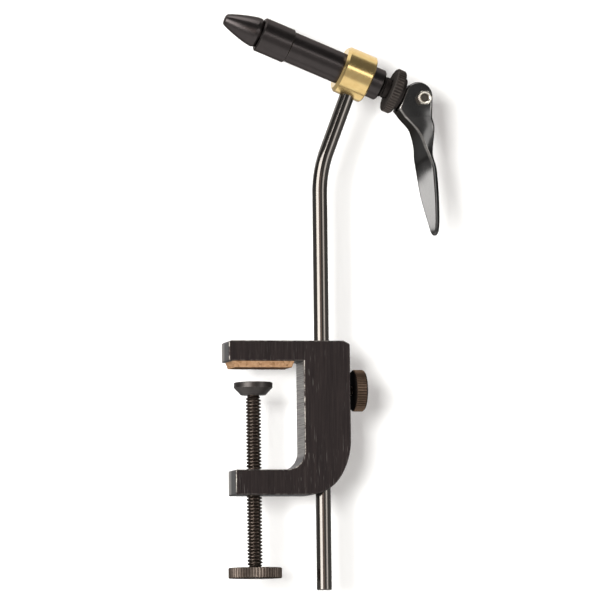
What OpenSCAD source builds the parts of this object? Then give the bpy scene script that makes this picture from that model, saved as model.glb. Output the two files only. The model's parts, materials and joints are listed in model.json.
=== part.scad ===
// Small hook-holding bench vise: a cam-closed collet head on a bent stem, carried by a C-clamp.
// Millimetres. +Z is up along the stem, +X runs from the clamp's mouth to its spine.
// The origin is on the clamp screw's axis, at the underside of the cork, where the table top lies.

/* [Clamp frame] */
// Thickness of the flat bar the frame is cut from
frame_t = 19; // [14:0.5:26]
// Reach of the upper arm past the clamp screw's axis
upper_reach = 14.8; // [13:0.1:22]
// Reach of the lower arm past the clamp screw's axis
lower_reach = 11.8; // [8:0.1:18]
// Height of the upper arm
upper_arm_h = 10.8; // [8:0.1:18]
// Height of the lower arm
lower_arm_h = 13.3; // [9:0.1:18]
// Clear height of the throat from the lower arm to the cork
throat_h = 53.2; // [45:0.1:75]
// Distance from the clamp screw's axis to the stem's axis
screw_to_stem = 36.9; // [34:0.1:50]
// Metal from the stem's axis to the throat
spine_in = 11.7; // [8:0.1:14]
// Metal from the stem's axis to the back of the spine
spine_out = 13.2; // [11:0.1:18]
// Radius of the big outer corner
outer_corner_r = 36.6; // [30:0.1:44]
// Height of the outer corner's centre above the frame's underside
outer_corner_rise = 29; // [20:0.5:29.5]
// Radius that rounds the outer corner into the frame's underside
outer_toe_r = 20.8; // [5:0.1:24]
// Radius of the fillet inside the lower corner
inner_fillet_r = 9.5; // [3:0.1:12]
// Length of the bevel along the top of the arm's tip
tip_bevel_l = 1.6; // [0.5:0.1:5]
// Depth of the bevel at the arm's tip
tip_bevel_h = 0.8; // [0.3:0.1:4]
// Length of the bevel at the top of the spine
back_bevel_l = 3.3; // [0.5:0.1:5]
// Depth of the bevel at the top of the spine
back_bevel_h = 1.8; // [0.3:0.1:4]

/* [Cork pad] */
// Thickness of the cork
cork_t = 3.4; // [1.5:0.05:6]
// Length of the cork along the arm
cork_l = 33.1; // [25:0.1:36]
// Setback of the cork from the arm's tip
cork_setback = 1.9; // [0.3:0.1:2]
// Setback of the cork from the sides of the arm
cork_margin = 0.4; // [0:0.1:2]

/* [Clamp screw] */
// Diameter over the thread's crests
screw_d = 7.94; // [6:0.02:10]
// Depth of the thread
thread_depth = 1; // [0.5:0.05:1.3]
// Pitch of the thread
screw_pitch = 1.76; // [1.25:0.01:2.5]
// Threaded length between the swivel pad and the thumbwheel
screw_l = 90; // [80:0.5:110]
// Diameter of the neck that the swivel pad turns on
neck_d = 5.2; // [4:0.1:5.6]
// Diameter of the peened end that keeps the pad on
peen_d = 7.6; // [6.5:0.1:9]
// Thickness of the peened end
peen_t = 1.2; // [0.8:0.1:2]

/* [Swivel pad] */
// Diameter of the pad's rim
pad_d = 20.3; // [16:0.1:24]
// Height of the straight rim
pad_rim_h = 2.8; // [2:0.1:4.5]
// Height of the cone under the rim
pad_cone_h = 3.9; // [2:0.1:6]
// Diameter of the pad where it sits on the screw
pad_foot_d = 13; // [11:0.1:15]
// Diameter of the recess in the pad's top
pad_recess_d = 13; // [11:0.1:15]
// Depth of the recess in the pad's top
pad_recess_h = 3; // [2.4:0.1:4]
// Gap between pad and cork as photographed
bench_gap = 7.3; // [5:0.1:15]

/* [Thumbwheel] */
// Diameter of the clamp's thumbwheel
wheel_d = 28; // [20:0.5:36]
// Thickness of the thumbwheel
wheel_t = 5.5; // [4:0.1:9]
// Number of knurl ridges on the thumbwheel
wheel_teeth = 54; // [30:1:80]
// Diameter of the screw's stub in the thumbwheel
stub_d = 5.6; // [4:0.1:5.8]

/* [Stem lock] */
// Depth of the lock screw below the cork's underside
lock_drop = 11.5; // [8:0.1:30]
// Diameter over the lock screw's thread
lock_d = 6; // [5:0.1:7]
// Depth of the lock screw's thread
lock_thread_depth = 0.55; // [0.3:0.05:0.7]
// Pitch of the lock screw
lock_pitch = 1; // [0.8:0.05:1.5]
// Thread showing between the spine and the knob
lock_show = 2.8; // [1.5:0.1:5]
// Length of the brass shoe
shoe_l = 3.2; // [2:0.1:4.5]
// Diameter of the lock knob
knob_d = 21.9; // [16:0.1:26]
// Thickness of the lock knob
knob_t = 6.4; // [4:0.1:10]
// Number of knurl ridges on the lock knob
knob_teeth = 48; // [30:1:80]
// Diameter of the lock screw's stub in the knob
knob_stub_d = 4.4; // [3:0.1:4.6]

/* [Stem] */
// Diameter of the stem
stem_d = 7.94; // [6:0.02:9]
// Stem below the frame's underside
stem_below = 49.5; // [20:0.5:80]
// Height of the bend's corner above the cork's underside
bend_h = 104; // [85:0.5:140]
// Radius of the bend
bend_r = 63; // [20:1:90]
// Lean of the stem above the bend, in degrees
neck_lean = 21; // [10:0.5:30]
// Length from the bend's corner to the head's axis
neck_l = 55.1; // [45:0.1:80]
// Chamfer at the stem's foot
foot_chamfer = 0.5; // [0.2:0.1:1.5]

/* [Head] */
// Tilt of the head's axis, nose up, in degrees
head_tilt = 22.1; // [10:0.1:35]
// Diameter of the brass collar
collar_d = 25.4; // [22:0.1:30]
// Length of the brass collar
collar_l = 16.6; // [12:0.1:20]
// Collar in front of the stem's axis
collar_front = 8.7; // [6:0.1:12]
// Bevel on the collar's front edge
collar_bevel = 1.5; // [0.5:0.1:2.5]
// Diameter of the barrel
barrel_d = 16.6; // [16:0.1:19]
// Barrel in front of the collar's centre, as far as the sleeve's rear end
barrel_front = 38; // [36:0.5:50]
// Barrel behind the collar's centre
barrel_rear = 15; // [11:0.1:20]
// Diameter of the front bore of the barrel
barrel_bore_d = 12.4; // [11.6:0.1:12.6]
// Front face of the web inside the barrel, ahead of the collar's centre
web_front = 8; // [7:0.5:12]
// Thickness of the web that the spring pushes on
web_t = 3; // [2:0.1:5]
// Diameter of the front sleeve
sleeve_d = 18.5; // [17.8:0.1:21]
// Length of the front sleeve
sleeve_l = 17.2; // [12:0.1:20]
// Diameter of the spigot that the sleeve is pressed on
spigot_d = 15; // [14.4:0.1:15.6]
// Thickness of the sleeve's front lip
lip_t = 1.8; // [1:0.1:3]
// Clearance between the collet's seat and the sleeve's mouth
lip_clear = 0.3; // [0.2:0.05:0.6]
// Chamfer on the ends of the turned head pieces
turn_chamfer = 0.7; // [0.3:0.1:1.2]

/* [Collet] */
// Length of the collet's nose in front of the sleeve
nose_l = 20.2; // [15:0.1:26]
// Diameter of the nose at its tip
nose_tip_d = 7; // [4:0.1:9]
// Largest diameter of the nose
nose_d = 15.8; // [14.5:0.1:17]
// Bulge of the nose's sides: 0 is a plain cone
nose_belly = 0.43; // [0:0.01:0.6]
// Rounding of the nose's tip and shoulder
nose_round = 1.6; // [0.8:0.1:2]
// Length of the rear taper, from the widest point to the neck
seat_l = 4.6; // [4.2:0.1:7]
// Diameter of the collet's neck inside the barrel
collet_d = 11.2; // [10:0.1:11.3]
// Width of the closed slit between the two halves
slit_w = 0.3; // [0.1:0.05:0.6]
// Length of the slit halves behind the sleeve's front face
slit_l = 24.4; // [20:0.2:25]

/* [Draw rod and spring] */
// Diameter of the draw rod
rod_d = 7; // [5:0.1:7.4]
// Thickness of the guide disc behind the collet
guide_t = 2.8; // [2:0.1:4]
// Wire diameter of the return spring
wire_d = 1; // [0.6:0.05:1.2]
// Number of curls of the return spring
spring_curls = 7; // [4:1:9]

/* [Adjuster] */
// Diameter of the adjuster's hollow neck
adjuster_d = 11.2; // [10:0.1:12]
// Length of the neck that shows between barrel and wheel
adjuster_show = 5; // [3:0.1:10]
// Length of the neck inside the barrel
adjuster_in = 14; // [8:0.5:16]
// Diameter of the adjuster's wheel
adjuster_wheel_d = 24; // [20:0.1:30]
// Thickness of the knurled part of the adjuster's wheel
adjuster_wheel_t = 5.2; // [3:0.1:6.2]
// Number of knurl ridges on the adjuster's wheel
adjuster_teeth = 44; // [30:1:70]
// Diameter of the boss behind the wheel, which the cam presses on
boss_d = 17; // [13:0.5:18]

/* [Cam lever] */
// Distance from the collar's centre to the lever's pivot along the head's axis
pivot_back = 37.7; // [37:0.1:44]
// Height of the pivot above the head's axis
pivot_rise = 1.5; // [0:0.1:3]
// Radius of the round cam head
cam_r = 7.6; // [7:0.1:8.5]
// Offset of the cam's centre from the pivot, towards the nose
cam_offset = 2.7; // [1.5:0.1:3]
// Length of the flat on the cam below the line through the pivot
cam_flat = 10.2; // [8:0.1:11]
// Width of the fork across both cheeks
fork_w = 14; // [12:0.1:18]
// Thickness of the draw rod's flattened eye
eye_t = 5.2; // [4:0.1:6]
// Wall of the eye round the bolt
eye_wall = 2.2; // [1.5:0.1:3]
// Length of the lever from pivot to tip
lever_l = 72; // [60:0.5:90]
// Offset of the lever's tip behind the pivot
lever_tip_x = 6.9; // [3:0.1:12]
// Largest width of the thumb paddle
paddle_w = 11.8; // [10:0.1:15]
// Thickness of the thumb paddle
paddle_t = 4.2; // [3:0.1:5]
// Twist of the thumb paddle, in degrees
paddle_twist = 52; // [30:1:60]

/* [Pivot] */
// Diameter of the pivot bolt
bolt_d = 4; // [3:0.1:4.5]
// Diameter of the bolt's round head
bolt_head_d = 7.5; // [6:0.1:9]
// Thickness of the bolt's head
bolt_head_t = 2.4; // [1.6:0.1:4]
// Width and depth of the driver slot in the bolt's head
bolt_slot = 0.8; // [0.5:0.1:1.2]
// Width of the hex nut across its flats
nut_af = 7; // [6:0.1:8]
// Thickness of the hex nut
nut_t = 3.2; // [2:0.1:4]
// Depth of the bolt's end inside the nut
bolt_recess = 1.6; // [0:0.1:2]

/* [Clearances] */
// Radial clearance of running fits
run_fit = 0.06; // [0.02:0.01:0.1]
// Radial clearance of pressed and brazed joints
press_fit = 0.02; // [0.01:0.01:0.05]
// Radial clearance between a thread's crest and its bore
thread_fit = 0.15; // [0.12:0.01:0.3]
// Gap between faces that turn or slide past each other
face_gap = 0.1; // [0.05:0.01:0.2]
// Gap between the closed cam and the adjuster
cam_gap = 0.32; // [0.28:0.01:0.5]
// Depth of the knurl ridges
knurl_depth = 0.4; // [0.2:0.05:0.6]
// Bevel on the knurled wheels
wheel_bevel = 0.8; // [0.3:0.1:1.2]

/* [Hidden] */
$fn = 64;

// Reach of cutting shapes past the faces they cut
cut = 1;

// Heights of the clamp frame
arm_under = cork_t;
frame_top = cork_t + upper_arm_h;
lower_top = -throat_h;
frame_bottom = lower_top - lower_arm_h;

// Spine of the clamp frame
stem_x = screw_to_stem;
spine_inner = stem_x - spine_in;
spine_outer = stem_x + spine_out;

// Swivel pad and clamp screw, from the pad's rim down
pad_top = -bench_gap;
pad_foot = pad_top - pad_rim_h - pad_cone_h;
pad_floor = pad_top - pad_recess_h;
screw_top = pad_foot - face_gap;
screw_bottom = screw_top - screw_l;
screw_root_r = screw_d / 2 - thread_depth;

// Lock screw, from the stem out
shoe_start = stem_d / 2 + face_gap;
lock_tip = shoe_start + shoe_l + face_gap;
knob_start = spine_out + lock_show;
lock_bore_r = lock_d / 2 + thread_fit;
lock_root_r = lock_d / 2 - lock_thread_depth;

// Stem
foot_end = frame_bottom - stem_below;
bend_run = bend_r * tan(neck_lean / 2);
bend_start = bend_h - bend_run;
bend_rings = 10;
neck_sides = 48;
stem_bore_r = stem_d / 2 + run_fit;
stem_seat = barrel_d / 2 + face_gap;

// Head axis: u points to the rear, p points up across it
head_u = [cos(head_tilt), 0, -sin(head_tilt)];
head_p = [sin(head_tilt), 0, cos(head_tilt)];
head_at = [stem_x + neck_l * sin(neck_lean), 0, bend_h + neck_l * cos(neck_lean)];
pivot_at = head_at + pivot_back * head_u + pivot_rise * head_p;

// Stations along the head's axis, from the collar's centre towards the rear
sleeve_rear = -barrel_front;
sleeve_front = sleeve_rear - sleeve_l;
spigot_front = sleeve_front + lip_t + face_gap;
nose_tip = sleeve_front - nose_l;
collet_rear = sleeve_front + slit_l;
guide_front = collet_rear + slit_w;
guide_rear = guide_front + guide_t;
wheel_front = barrel_rear + adjuster_show;
wheel_rear = wheel_front + adjuster_wheel_t;
boss_rear = pivot_back - cam_offset - cam_r - cam_gap;
rod_bore_r = rod_d / 2 + run_fit;
adjuster_bore_r = adjuster_d / 2 + thread_fit;
guide_r = barrel_bore_d / 2 - run_fit;

// Seat of the collet in the sleeve's mouth: its radius at the front face, and how fast it narrows
seat_front_r = nose_d / 2 - nose_round / 2;
seat_slope = (seat_front_r - collet_d / 2) / (seat_l - nose_round);

// Number of steps on the nose's bulged side
nose_steps = 10;

// Return spring between the guide disc and the web
spring_r = (rod_d / 2 + barrel_bore_d / 2) / 2;
spring_from = guide_rear + wire_d / 2 + face_gap;
spring_to = -web_front - wire_d / 2 - face_gap;
curl_rings = 8;
wire_sides = 6;

// Cam lever, in the plane across the pivot: x to the back, second value up
cam_reach = cam_offset + cam_r;
slot_w = eye_t + 2 * face_gap;
slot_floor = 6.5;
eye_r = bolt_d / 2 + eye_wall;
root_drop = 10;
root_overlap = 0.4;
section_round = 0.7;
rings_per_station = 4;

// Control sections of the blade: share of the length from root to tip, and then
// centre, thickness, width and twist of the section there
lever_stations = [
    [0.00, -2.6, 15.0, fork_w, 0],
    [0.08, 0.2, 11.6, 0.96 * fork_w, 0.04 * paddle_twist],
    [0.16, 1.0, 8.4, 0.89 * fork_w, 0.22 * paddle_twist],
    [0.25, 1.3, 5.8, 0.8 * fork_w, 0.43 * paddle_twist],
    [0.33, 1.4, 3.6, paddle_w, 0.64 * paddle_twist],
    [0.41, 2.5, 0.86 * paddle_t, paddle_w, 0.82 * paddle_twist],
    [0.52, 0.5 * lever_tip_x, paddle_t, 0.91 * paddle_w, 0.96 * paddle_twist],
    [0.68, 0.67 * lever_tip_x, paddle_t, 0.79 * paddle_w, paddle_twist],
    [0.84, 0.88 * lever_tip_x, paddle_t, 0.56 * paddle_w, paddle_twist],
    [0.94, 0.99 * lever_tip_x, 0.92 * paddle_t, 0.38 * paddle_w, paddle_twist],
    [0.98, lever_tip_x, 0.72 * paddle_t, 0.27 * paddle_w, paddle_twist],
    [1.00, lever_tip_x, 0.4 * paddle_t, 0.14 * paddle_w, paddle_twist]
];

// Solid of revolution about Z from a list of [radius, height] points
module turned(points) {
    rotate_extrude() polygon(points);
}

// Cylinder about Z between two heights
module rod(r, from, to) {
    translate([0, 0, from]) cylinder(r = r, h = to - from);
}

// Places children on the head's axis: their +Z points to the rear, their +X points down
module on_head() {
    translate(head_at) rotate([0, 90 + head_tilt, 0]) children();
}

// Places children on the lock screw's axis: their +Z points out of the spine
module on_lock() {
    translate([stem_x, 0, -lock_drop]) rotate([0, 90, 0]) children();
}

// Places children at the lever's pivot
module at_pivot() {
    translate(pivot_at) children();
}

// Turns children so that their +Z points away from the viewer's side
module along_y() {
    rotate([-90, 0, 0]) children();
}

// Stands an outline drawn in X and Z up, with a thickness across Y
module plate(thickness) {
    rotate([90, 0, 0]) linear_extrude(height = thickness, center = true) children();
}

// Outline points of a threaded rod's side from one height up to another
function thread_side(r, depth, pitch, from, to) =
    let (turns = floor((to - from) / pitch), margin = (to - from - turns * pitch) / 2)
    [for (i = [0 : turns - 1], half = [0, 1])
        [r - (1 - half) * depth, from + margin + (i + half / 2) * pitch]];

// Outline of a wheel with straight knurl ridges
function knurl_outline(d, teeth) =
    [for (i = [0 : 2 * teeth - 1])
        let (r = d / 2 - (i % 2) * knurl_depth, a = 180 * (i + 0.5) / teeth)
        [r * cos(a), r * sin(a)]];

// Knurled wheel from height 0 up to its thickness, bevelled at both rims
module knurled_wheel(d, t, teeth, bevel) {
    intersection() {
        linear_extrude(height = t) polygon(knurl_outline(d, teeth));
        turned([
            [0, 0],
            [d / 2 - bevel, 0],
            [d / 2 + knurl_depth, bevel + knurl_depth],
            [d / 2 + knurl_depth, t - bevel - knurl_depth],
            [d / 2 - bevel, t],
            [0, t]
        ]);
    }
}

// Triangles of a tube of rings with the same number of points, closed at both ends
function tube_faces(rings, sides) = concat(
    [for (i = [0 : rings - 2], k = [0 : sides - 1], half = [0, 1])
        let (a = i * sides + k, b = i * sides + (k + 1) % sides)
        half == 0 ? [a, b, b + sides] : [a, b + sides, a + sides]],
    [for (k = [1 : sides - 2]) [0, k + 1, k]],
    [for (k = [1 : sides - 2]) let (last = (rings - 1) * sides) [last, last + k, last + k + 1]]
);

// Clamp

module frame_outline() {
    tip = -upper_reach;
    corner_x = spine_outer - outer_corner_r;
    corner_z = frame_bottom + outer_corner_rise;
    toe_drop = outer_corner_rise - outer_toe_r;
    toe_run = sqrt((outer_corner_r - outer_toe_r) ^ 2 - toe_drop ^ 2);
    toe_h = outer_corner_rise - outer_corner_r * toe_drop / (outer_corner_r - outer_toe_r);
    fillet_x = spine_inner - inner_fillet_r;
    fillet_z = lower_top + inner_fillet_r;
    difference() {
        polygon([
            [tip, arm_under],
            [tip, frame_top - tip_bevel_h],
            [tip + tip_bevel_l, frame_top],
            [spine_outer - back_bevel_l, frame_top],
            [spine_outer, frame_top - back_bevel_h],
            [spine_outer, frame_bottom],
            [-lower_reach, frame_bottom],
            [-lower_reach, lower_top],
            [fillet_x, lower_top],
            [spine_inner, fillet_z],
            [spine_inner, arm_under]
        ]);
        translate([fillet_x, fillet_z]) circle(inner_fillet_r);
        difference() {
            translate([corner_x, frame_bottom - cut])
                square([outer_corner_r + cut, outer_corner_rise + cut]);
            translate([corner_x, corner_z]) circle(outer_corner_r);
        }
        difference() {
            translate([corner_x + toe_run, frame_bottom - cut]) square([outer_corner_r, toe_h + cut]);
            translate([corner_x + toe_run, frame_bottom + outer_toe_r]) circle(outer_toe_r);
        }
    }
}

module clamp_frame() {
    color("#3a3431") difference() {
        plate(frame_t) frame_outline();
        translate([stem_x, 0, 0]) rod(stem_bore_r, frame_bottom - cut, frame_top + cut);
        rod(screw_d / 2 + thread_fit, frame_bottom - cut, lower_top + cut);
        on_lock() rod(lock_bore_r, 0, spine_out + cut);
    }
}

module cork_pad() {
    width = frame_t - 2 * cork_margin;
    color("#bd9069") translate([cork_setback - upper_reach, -width / 2, 0]) cube([cork_l, width, cork_t]);
}

module clamp_screw() {
    neck_r = neck_d / 2;
    peen_floor = pad_floor + face_gap;
    color("#4a3d33") turned(concat(
        [[0, screw_bottom - wheel_t], [stub_d / 2, screw_bottom - wheel_t], [stub_d / 2, screw_bottom]],
        thread_side(screw_d / 2, thread_depth, screw_pitch, screw_bottom, screw_top),
        [
            [screw_root_r, screw_top],
            [neck_r, screw_top],
            [neck_r, peen_floor],
            [peen_d / 2, peen_floor],
            [peen_d / 2, peen_floor + peen_t / 2],
            [neck_r, peen_floor + peen_t],
            [0, peen_floor + peen_t]
        ]
    ));
}

module clamp_thumbwheel() {
    color("#6d6059") translate([0, 0, screw_bottom - wheel_t]) difference() {
        knurled_wheel(wheel_d, wheel_t, wheel_teeth, wheel_bevel / 2);
        rod(stub_d / 2 + press_fit, -cut, wheel_t + cut);
    }
}

module swivel_pad() {
    bore_r = neck_d / 2 + run_fit;
    edge = wheel_bevel / 2;
    color("#3c3a39") turned([
        [bore_r, pad_foot],
        [pad_foot_d / 2, pad_foot],
        [pad_d / 2, pad_top - pad_rim_h],
        [pad_d / 2, pad_top - edge],
        [pad_d / 2 - edge, pad_top],
        [pad_recess_d / 2, pad_top],
        [pad_recess_d / 2, pad_floor],
        [bore_r, pad_floor]
    ]);
}

// Stem lock

module lock_screw() {
    color("#453a33") on_lock() turned(concat(
        [[0, lock_tip], [lock_root_r, lock_tip]],
        thread_side(lock_d / 2, lock_thread_depth, lock_pitch, lock_tip, knob_start),
        [
            [lock_root_r, knob_start],
            [knob_stub_d / 2, knob_start],
            [knob_stub_d / 2, knob_start + knob_t],
            [0, knob_start + knob_t]
        ]
    ));
}

module lock_knob() {
    color("#54443a") on_lock() translate([0, 0, knob_start]) difference() {
        knurled_wheel(knob_d, knob_t, knob_teeth, wheel_bevel);
        rod(knob_stub_d / 2 + press_fit, -cut, knob_t + cut);
    }
}

module lock_shoe() {
    color("#b08d3f") on_lock() rod(lock_bore_r - run_fit, shoe_start, shoe_start + shoe_l);
}

// Stem

module stem_post() {
    r = stem_d / 2;
    color("#2e2c2c") translate([stem_x, 0, 0]) turned([
        [0, foot_end],
        [r - foot_chamfer, foot_end],
        [r, foot_end + foot_chamfer],
        [r, bend_start],
        [0, bend_start]
    ]);
}

// Ring of points round the neck, square to its path, at a lean and a centre
function neck_ring(lean, centre) =
    [for (k = [0 : neck_sides - 1])
        let (b = -360 * k / neck_sides)
        centre + stem_d / 2 * [cos(b) * cos(lean), sin(b), -cos(b) * sin(lean)]];

module stem_neck() {
    top = neck_l - stem_seat;
    bend = [for (i = [0 : bend_rings])
        let (lean = neck_lean * i / bend_rings)
        neck_ring(lean, [stem_x + bend_r * (1 - cos(lean)), 0, bend_start + press_fit + bend_r * sin(lean)])];
    end = neck_ring(neck_lean, [stem_x + top * sin(neck_lean), 0, bend_h + top * cos(neck_lean)]);
    rings = concat(bend, [end]);
    color("#2e2c2c") polyhedron([for (ring = rings) each ring], tube_faces(len(rings), neck_sides));
}

// Head

module head_collar() {
    r = collar_d / 2;
    rear = collar_l - collar_front;
    color("#c9a04f") difference() {
        on_head() turned([
            [barrel_d / 2 + press_fit, -collar_front],
            [r - collar_bevel, -collar_front],
            [r, collar_bevel - collar_front],
            [r, rear - turn_chamfer],
            [r - turn_chamfer, rear],
            [barrel_d / 2 + press_fit, rear]
        ]);
        translate([stem_x, 0, bend_h]) rotate([0, neck_lean, 0])
            rod(stem_d / 2 + press_fit, neck_l - collar_d, neck_l);
    }
}

module barrel() {
    r = barrel_d / 2;
    spigot_r = spigot_d / 2;
    bore_r = barrel_bore_d / 2;
    web_rear = web_t - web_front;
    color("#2b2929") on_head() turned([
        [bore_r, spigot_front],
        [spigot_r, spigot_front],
        [spigot_r, sleeve_rear],
        [r, sleeve_rear],
        [r, barrel_rear - turn_chamfer],
        [r - turn_chamfer, barrel_rear],
        [adjuster_bore_r, barrel_rear],
        [adjuster_bore_r, web_rear],
        [rod_bore_r, web_rear],
        [rod_bore_r, -web_front],
        [bore_r, -web_front]
    ]);
}

module collet_sleeve() {
    r = sleeve_d / 2;
    bore_r = spigot_d / 2 + press_fit;
    mouth_r = seat_front_r + lip_clear;
    throat_r = mouth_r - seat_slope * lip_t;
    color("#2e2c2b") on_head() turned([
        [mouth_r, sleeve_front],
        [r - turn_chamfer, sleeve_front],
        [r, sleeve_front + turn_chamfer],
        [r, sleeve_rear - turn_chamfer],
        [r - turn_chamfer, sleeve_rear],
        [bore_r, sleeve_rear],
        [bore_r, sleeve_front + lip_t],
        [throat_r, sleeve_front + lip_t]
    ]);
}

// Points between two ends of the nose's side, on a curve that bulges
function nose_side(r1, r2, from, to) =
    [for (i = [1 : nose_steps - 1])
        let (t = i / nose_steps)
        [r1 + (r2 - r1) * (t + nose_belly * t * (1 - t)), from + t * (to - from)]];

// One half of the slit collet: side is -1 for the half near the viewer, 1 for the far half
module collet_half(side) {
    tip_r = nose_tip_d / 2;
    wide_r = nose_d / 2;
    neck_r = collet_d / 2;
    widest = sleeve_front - nose_round;
    seat_end = widest + seat_l;
    on_head() intersection() {
        turned([
            [0, nose_tip],
            [tip_r - nose_round, nose_tip],
            [tip_r - nose_round / 3, nose_tip + nose_round / 3],
            [tip_r, nose_tip + nose_round],
            each nose_side(tip_r, wide_r, nose_tip + nose_round, widest - nose_round),
            [wide_r, widest - nose_round],
            [wide_r, widest],
            [seat_front_r, sleeve_front],
            [neck_r, seat_end],
            [neck_r, collet_rear],
            [0, collet_rear]
        ]);
        translate([-nose_d / 2, side * (slit_w + nose_d) / 2 - nose_d / 2, nose_tip - cut])
            cube([nose_d, nose_d, collet_rear - nose_tip + 2 * cut]);
    }
}

module jaw_front() {
    color("#2b2727") collet_half(-1);
}

module jaw_back() {
    color("#2b2727") collet_half(1);
}

// Draw rod, spring and adjuster

module draw_rod() {
    r = rod_d / 2;
    flat_from = boss_rear - cut;
    color("#4c4a49") difference() {
        union() {
            on_head() turned([
                [0, guide_front],
                [guide_r, guide_front],
                [guide_r, guide_rear],
                [r, guide_rear],
                [r, flat_from],
                [0, flat_from]
            ]);
            on_head() intersection() {
                rod(r, flat_from - cut, pivot_back);
                translate([-r, -eye_t / 2, flat_from - cut]) cube([rod_d, eye_t, rod_d * 2]);
            }
            at_pivot() along_y() cylinder(r = eye_r, h = eye_t, center = true);
        }
        at_pivot() along_y() cylinder(r = bolt_d / 2 + press_fit, h = fork_w, center = true);
    }
}

// Points of the spring wire's centre line
spring_steps = spring_curls * curl_rings;
spring_path = [for (i = [0 : spring_steps])
    let (a = 360 * i / curl_rings)
    [spring_r * cos(a), spring_r * sin(a), spring_from + (spring_to - spring_from) * i / spring_steps]];

// Least gap between the wire and its own next curls, measured on the points
spring_gap = min([for (i = [0 : spring_steps - curl_rings + 1], j = [i + curl_rings - 1 : spring_steps])
    norm(spring_path[i] - spring_path[j])]) - wire_d;
echo(spring_gap = spring_gap);

// Ring of points round one step of the spring's wire
function wire_ring(i) =
    let (a = 360 * i / curl_rings, out = [cos(a), sin(a), 0])
    [for (k = [0 : wire_sides - 1])
        let (b = 360 * k / wire_sides)
        spring_path[i] + wire_d / 2 * (cos(b) * out + [0, 0, sin(b)])];

module return_spring() {
    color("#8d8b88") on_head() polyhedron(
        [for (i = [0 : spring_steps]) each wire_ring(i)],
        tube_faces(spring_steps + 1, wire_sides)
    );
}

module adjuster() {
    neck_r = adjuster_d / 2;
    color("#45403d") on_head() difference() {
        union() {
            rod(neck_r, barrel_rear - adjuster_in, wheel_front + cut);
            translate([0, 0, wheel_front])
                knurled_wheel(adjuster_wheel_d, adjuster_wheel_t, adjuster_teeth, wheel_bevel);
            translate([0, 0, wheel_rear])
                cylinder(d = boss_d, h = boss_rear - wheel_rear);
        }
        rod(rod_bore_r, barrel_rear - adjuster_in - cut, boss_rear + cut);
    }
}

// Cam lever

// Outline of the cam head: a round cam, its flat, and the root of the blade
module cam_outline() {
    nose = [-cos(head_tilt), sin(head_tilt)];
    up = [sin(head_tilt), cos(head_tilt)];
    centre = cam_offset * nose;
    root = lever_stations[0];
    translate(centre) circle(cam_r);
    polygon([
        cam_reach * nose,
        cam_reach * nose - cam_flat * up,
        [root[1] - root[2] / 2, -root_drop],
        [root[1] + root[2] / 2, -root_drop],
        centre + [cam_r, 0],
        centre
    ]);
}

// Smooth value between four neighbouring control values
function smooth(a, b, c, d, t) =
    b + t / 2 * (c - a + t * (2 * a - 5 * b + 4 * c - d + t * (3 * (b - c) + d - a)));

// Blade section at a place counted in stations from the root
function blade_section(place) =
    let (
        last = len(lever_stations) - 1,
        i = min(floor(place), last - 1),
        s = [for (k = [i - 1 : i + 2]) lever_stations[max(0, min(k, last))]]
    )
    [for (v = [0 : 4]) smooth(s[0][v], s[1][v], s[2][v], s[3][v], place - i)];

// Round corners of a blade section: three points at each corner
function section_points(section) =
    let (
        half_t = section[2] / 2,
        half_w = section[3] / 2,
        round = min(section_round, half_t * 0.8, half_w * 0.8),
        z = -root_drop - section[0] * (lever_l - root_drop),
        corners = [[1, -1], [1, 1], [-1, 1], [-1, -1]]
    )
    [for (q = [0 : 3], step = [0 : 2])
        let (
            a = 90 * q - 90 + 45 * step,
            t = corners[q][0] * (half_t - round) + round * cos(a),
            w = corners[q][1] * (half_w - round) + round * sin(a)
        )
        [
            section[1] + t * cos(section[4]) - w * sin(section[4]),
            t * sin(section[4]) + w * cos(section[4]),
            z
        ]];

module lever_blade() {
    places = (len(lever_stations) - 1) * rings_per_station;
    sides = 12;
    top = [for (p = section_points(blade_section(0))) p + [0, 0, root_overlap]];
    rings = concat([top], [for (i = [1 : places]) section_points(blade_section(i / rings_per_station))]);
    polyhedron([for (ring = rings) each ring], tube_faces(len(rings), sides));
}

module cam_lever() {
    color("#232224") at_pivot() difference() {
        union() {
            plate(fork_w) cam_outline();
            lever_blade();
        }
        translate([-2 * cam_r - cam_flat, -slot_w / 2, -slot_floor])
            cube([4 * cam_r + cam_flat, slot_w, slot_floor + 2 * cam_r]);
        along_y() cylinder(r = bolt_d / 2 + run_fit, h = fork_w + cut, center = true);
    }
}

// Pivot

module pivot_bolt() {
    head_from = fork_w / 2 + face_gap;
    tip = -fork_w / 2 - face_gap - nut_t + bolt_recess;
    color("#b9b4a8") at_pivot() along_y() difference() {
        union() {
            rod(bolt_d / 2, tip, head_from);
            rod(bolt_head_d / 2, head_from, head_from + bolt_head_t);
        }
        translate([-bolt_head_d, -bolt_slot / 2, head_from + bolt_head_t - bolt_slot])
            cube([2 * bolt_head_d, bolt_slot, bolt_head_t]);
    }
}

module pivot_nut() {
    corner_r = nut_af / sqrt(3);
    start = -fork_w / 2 - face_gap - nut_t;
    bore_r = bolt_d / 2 + press_fit;
    color("#d8d2c4") at_pivot() along_y() difference() {
        intersection() {
            translate([0, 0, start]) cylinder(r = corner_r, h = nut_t, $fn = 6);
            turned([
                [0, start],
                [nut_af / 2, start],
                [corner_r, start + corner_r - nut_af / 2],
                [corner_r, start + nut_t],
                [0, start + nut_t]
            ]);
        }
        rod(bore_r, start - cut, start + nut_t + cut);
    }
}

clamp_frame();
cork_pad();
clamp_screw();
clamp_thumbwheel();
swivel_pad();
lock_screw();
lock_knob();
lock_shoe();
stem_post();
stem_neck();
head_collar();
barrel();
collet_sleeve();
jaw_front();
jaw_back();
draw_rod();
return_spring();
adjuster();
cam_lever();
pivot_bolt();
pivot_nut();
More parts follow.
